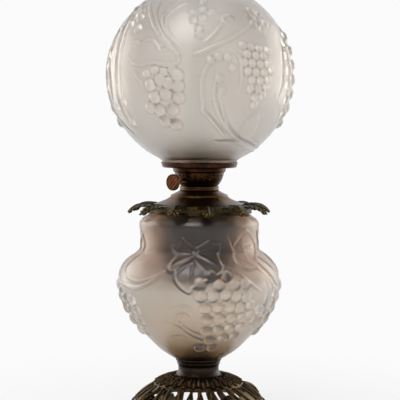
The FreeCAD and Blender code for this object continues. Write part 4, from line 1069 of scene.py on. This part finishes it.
# azimuth back from the next leg, course and half width of each opening in a panel
PANEL = [(10, UPRIGHT, 3.2), (25, UPRIGHT, 3.7), (35.7, UPRIGHT, 3.8), (45.9, UPRIGHT, 5.0),
         (63.5, ARCHED, 3.2), (75.6, UPRIGHT, 4.8), (87.0, UPRIGHT, 5.2)]
slots = []
fronds = []
FROND = [
    (0, 5.6), (0.5, 9.5), (1.6, 16), (3.4, 23.5), (6, 29.5), (7.8, 34), (6.4, 38.2), (2.8, 38.8), (1, 36),
    (2.4, 33.6), (4.4, 34.6)
]
FROND_WIDTHS = [0.8, 1.4, 1.6, 1.8, 2.0, 2.0, 1.8, 1.6, 1.5, 1.4, 1.3]
for leg in range(LEGS):
    next_leg = FIRST_LEG + 360 * leg / LEGS
    for back, shape, half in PANEL:
        course = [on_skirt(next_leg - back, x, y, -SKIRT_WALL / 2) for x, y in shape]
        slots.append((course, [half] * len(shape)))
    for (back, _, _), (following, _, _) in zip(PANEL, PANEL[1:]):
        middle = next_leg - (back + following) / 2
        hand = 1 if following > FROND_TURN else -1
        fronds.append(([on_skirt(middle, hand * x, y, 0.3) for x, y in FROND], FROND_WIDTHS))
foot = cut_with(foot, [drawn_tubes(slots, corners=3)])
bead = small_ball(on_skirt(0, 0, SKIRT_LENGTH - BEAD_RISE, 0.0) / MM, [BEAD_RADIUS] * 3)
ornament = [drawn_tubes(fronds)] + evenly(bead, BEADS)
print("the skirt has", len(slots), "openings and", len(fronds), "fronds")

# %% Legs
LEG_OUTER = [(73, 53), (81, 50.6), (90, 46), (96.4, 38), (96.2, 28.5), (92.4, 18.5), (94.5, 9), (99, 3)]
LEG_INNER = [(72.5, 51), (78, 47), (83.2, 40), (81.6, 31), (79, 20), (79.6, 11), (84, 4), (90, 1.5)]
LEG_HALF = [6.0, 7.0, 6.8, 5.8, 6.0, 8.5, 12.0, 12.0]
GROOVE_DEPTH, GROOVE_WIDTH = 0.10, 0.22      # shares of the leg's depth and half width
SQUARE_FRONT, SQUARE_SIDE = 0.6, 0.7         # below 1, the leg's section is squarer than an ellipse
END_ROUND, POLE = 4.5, 0.001
outer_run, inner_run = smooth_run(LEG_OUTER, 61), smooth_run(LEG_INNER, 61)
half_run = smooth_run([(i / (len(LEG_HALF) - 1), half) for i, half in enumerate(LEG_HALF)], 61)
select_only()
bpy.ops.mesh.primitive_uv_sphere_add(segments=28, ring_count=48, radius=1)
leg_body = bpy.context.active_object
# the corners of a ball are sent to the leg: down it from pole to pole, and across it round the ball
for corner in leg_body.data.vertices:
    share = 0.5 - math.asin(max(-1.0, min(1.0, corner.co.z))) / math.pi
    full = math.sqrt(max(0.0, 1 - corner.co.z ** 2))
    side = corner.co.x / full if full > POLE else 0.0
    front = -corner.co.y / full if full > POLE else 0.0
    fill = min(1.0, END_ROUND * full)
    outer, inner = at_share(outer_run, share)[0], at_share(inner_run, share)[0]
    middle, reach = (outer + inner) / 2, (outer - inner) / 2
    groove = 1 - GROOVE_DEPTH * math.exp(-(side / GROOVE_WIDTH) ** 2)
    place = middle + reach * math.copysign(abs(front) ** SQUARE_FRONT, front) * fill * groove
    half = at_share(half_run, share)[0].y * fill * math.copysign(abs(side) ** SQUARE_SIDE, side)
    corner.co = (half * MM, -place.x * MM, max(0.0, place.y) * MM)
bpy.ops.object.shade_smooth()
acanthus = cast_leaf("leg_leaf", [
    (74, 54), (81, 52.4), (89.5, 48.4), (97, 40.6), (98.6, 31), (95.6, 22)
], [4.0, 6.5, 8.0, 7.4, 6.4, 2.5], lobes=6.5, notch=0.36, droop=1.8, flute=1.8, thick=1.8)
toe = small_ball((0, -98.5, 6.2), (14.0, 6.6, 6.1), 24, 16)
for piece in (leg_body, acanthus, toe):
    ornament += evenly(piece, LEGS, FIRST_LEG)
settle(joined(foot, ornament), antique_brass, "antique_brass", "lamp_base", "foot_casting")

# %% Leaf collar
shell_section = section(
    (28.9, 66.1), (56, 66.1), (56.2, 66.6), (50.5, 68), (44, 70.2), (37, 72.2), (33, 72.9), (28.9, 72.9)
)
collar = turned("ruffled_leaf_collar", shell_section, 120)
leaf = cast_leaf("collar_leaf", [
    (33.6, 72.9), (40, 72.3), (46, 70.9), (52, 68.7), (58, 65.6)
], [3.4, 5.6, 7.8, 7.4, 1.6], lobes=3.5, notch=0.36, droop=1.4, flute=1.1, thick=1.1, grid=(14, 26))
under = cast_leaf("collar_leaf", [
    (42, 71.2), (48, 69.8), (53, 68), (57.4, 65.9), (61, 63.8)
], [3.4, 6.0, 7.4, 6.0, 1.4], lobes=3.5, notch=0.36, droop=1.0, flute=1.1, thick=1.1, grid=(14, 26))
RUFFLES = 27
ruffle = evenly(leaf, RUFFLES) + evenly(under, RUFFLES, 180 / RUFFLES)
settle(joined(collar, ruffle), antique_brass, "antique_brass", "lamp_base", "leaf_collar")

# %% [markdown]
# ## Floor, background and light
#
# A pale table runs far back, under a plain soft studio light. What the camera, the metal and the glass see of
# the room is white, and the table keeps the lamp's soft shadow.

# %% Stage and lights
def white_room(name, near):
    """A matt finish that camera, glossy and glass rays see as plain white light, less so near the lamp."""
    material, tree, output, here = new_finish(name)
    path = add(tree, "LightPath").outputs
    first = add(tree, "Math", {0: path["Is Camera Ray"], 1: path["Is Glossy Ray"]}, operation="MAXIMUM")
    either = add(tree, "Math", {0: first.outputs[0], 1: path["Is Transmission Ray"]}, operation="MAXIMUM")
    matt = add(tree, "BsdfDiffuse", {"Color": paint("f2f2f2")})
    glow = add(tree, "Emission", {"Color": paint("fbfbfc"), "Strength": 1.0})
    reach = add(tree, "VectorMath", {0: here}, operation="LENGTH")
    seen = add(tree, "MapRange", {"Value": reach.outputs["Value"], "From Min": 0.1, "From Max": 0.7,
                                  "To Min": near, "To Max": 1.0})
    share = add(tree, "Math", {0: either.outputs[0], 1: seen.outputs[0]}, operation="MULTIPLY")
    mixed = add(tree, "MixShader", {0: share.outputs[0], 1: matt.outputs[0], 2: glow.outputs[0]})
    tree.links.new(mixed.outputs[0], output.inputs["Surface"])
    return material


def stage_plane(name, finish, near, **settings):
    """A plane of the stage, in its white finish."""
    select_only()
    bpy.ops.mesh.primitive_plane_add(**settings)
    bpy.ops.object.transform_apply(location=True)
    plane = bpy.context.active_object
    plane.name = name
    plane.data.materials.append(white_room(finish, near))


stage_plane("table_top", "pale_table", 0.7, size=12.0, location=(0, 2.0, 0))
stage_plane("backdrop", "white_backdrop", 1.0, size=14.0, location=(0, 4.0, 3.0),
            rotation=(math.radians(90), 0, 0))

ROOM_LIGHT, ROOM_SEEN = 0.55, 1.06      # the soft room's strength on the lamp, and as the camera sees it
world = bpy.data.worlds.new("soft_room")
bpy.context.scene.world = world
world.use_nodes = True
air = world.node_tree.nodes["Background"]
air.inputs["Color"].default_value = paint("f4f5f8")
seen = add(world.node_tree, "LightPath").outputs["Is Camera Ray"]
bright = add(world.node_tree, "MapRange", {"Value": seen, "To Min": ROOM_LIGHT, "To Max": ROOM_SEEN})
world.node_tree.links.new(bright.outputs["Result"], air.inputs["Strength"])


def soft_box(name, place, aim, size, watts, code):
    """A square soft light at a place, turned to its aim."""
    bpy.ops.object.light_add(type="AREA", location=place)
    lamp = bpy.context.active_object
    lamp.name = name
    lamp.data.size = size
    lamp.data.energy = watts
    lamp.data.color = paint(code)[:3]
    lamp.rotation_euler = (Vector(aim) - Vector(place)).to_track_quat("-Z", "Y").to_euler()


soft_box("left_box", (-1.4, 0.75, 0.6), (0, 0, 0.35), size=1.3, watts=10, code="fff8ee")
soft_box("right_box", (1.4, 0.75, 0.6), (0, 0, 0.35), size=1.3, watts=10, code="fff8ee")
soft_box("top_box", (-0.5, -1.1, 2.2), (0, 0, 0.3), size=1.2, watts=18, code="ffffff")
print("stage and three soft lights")
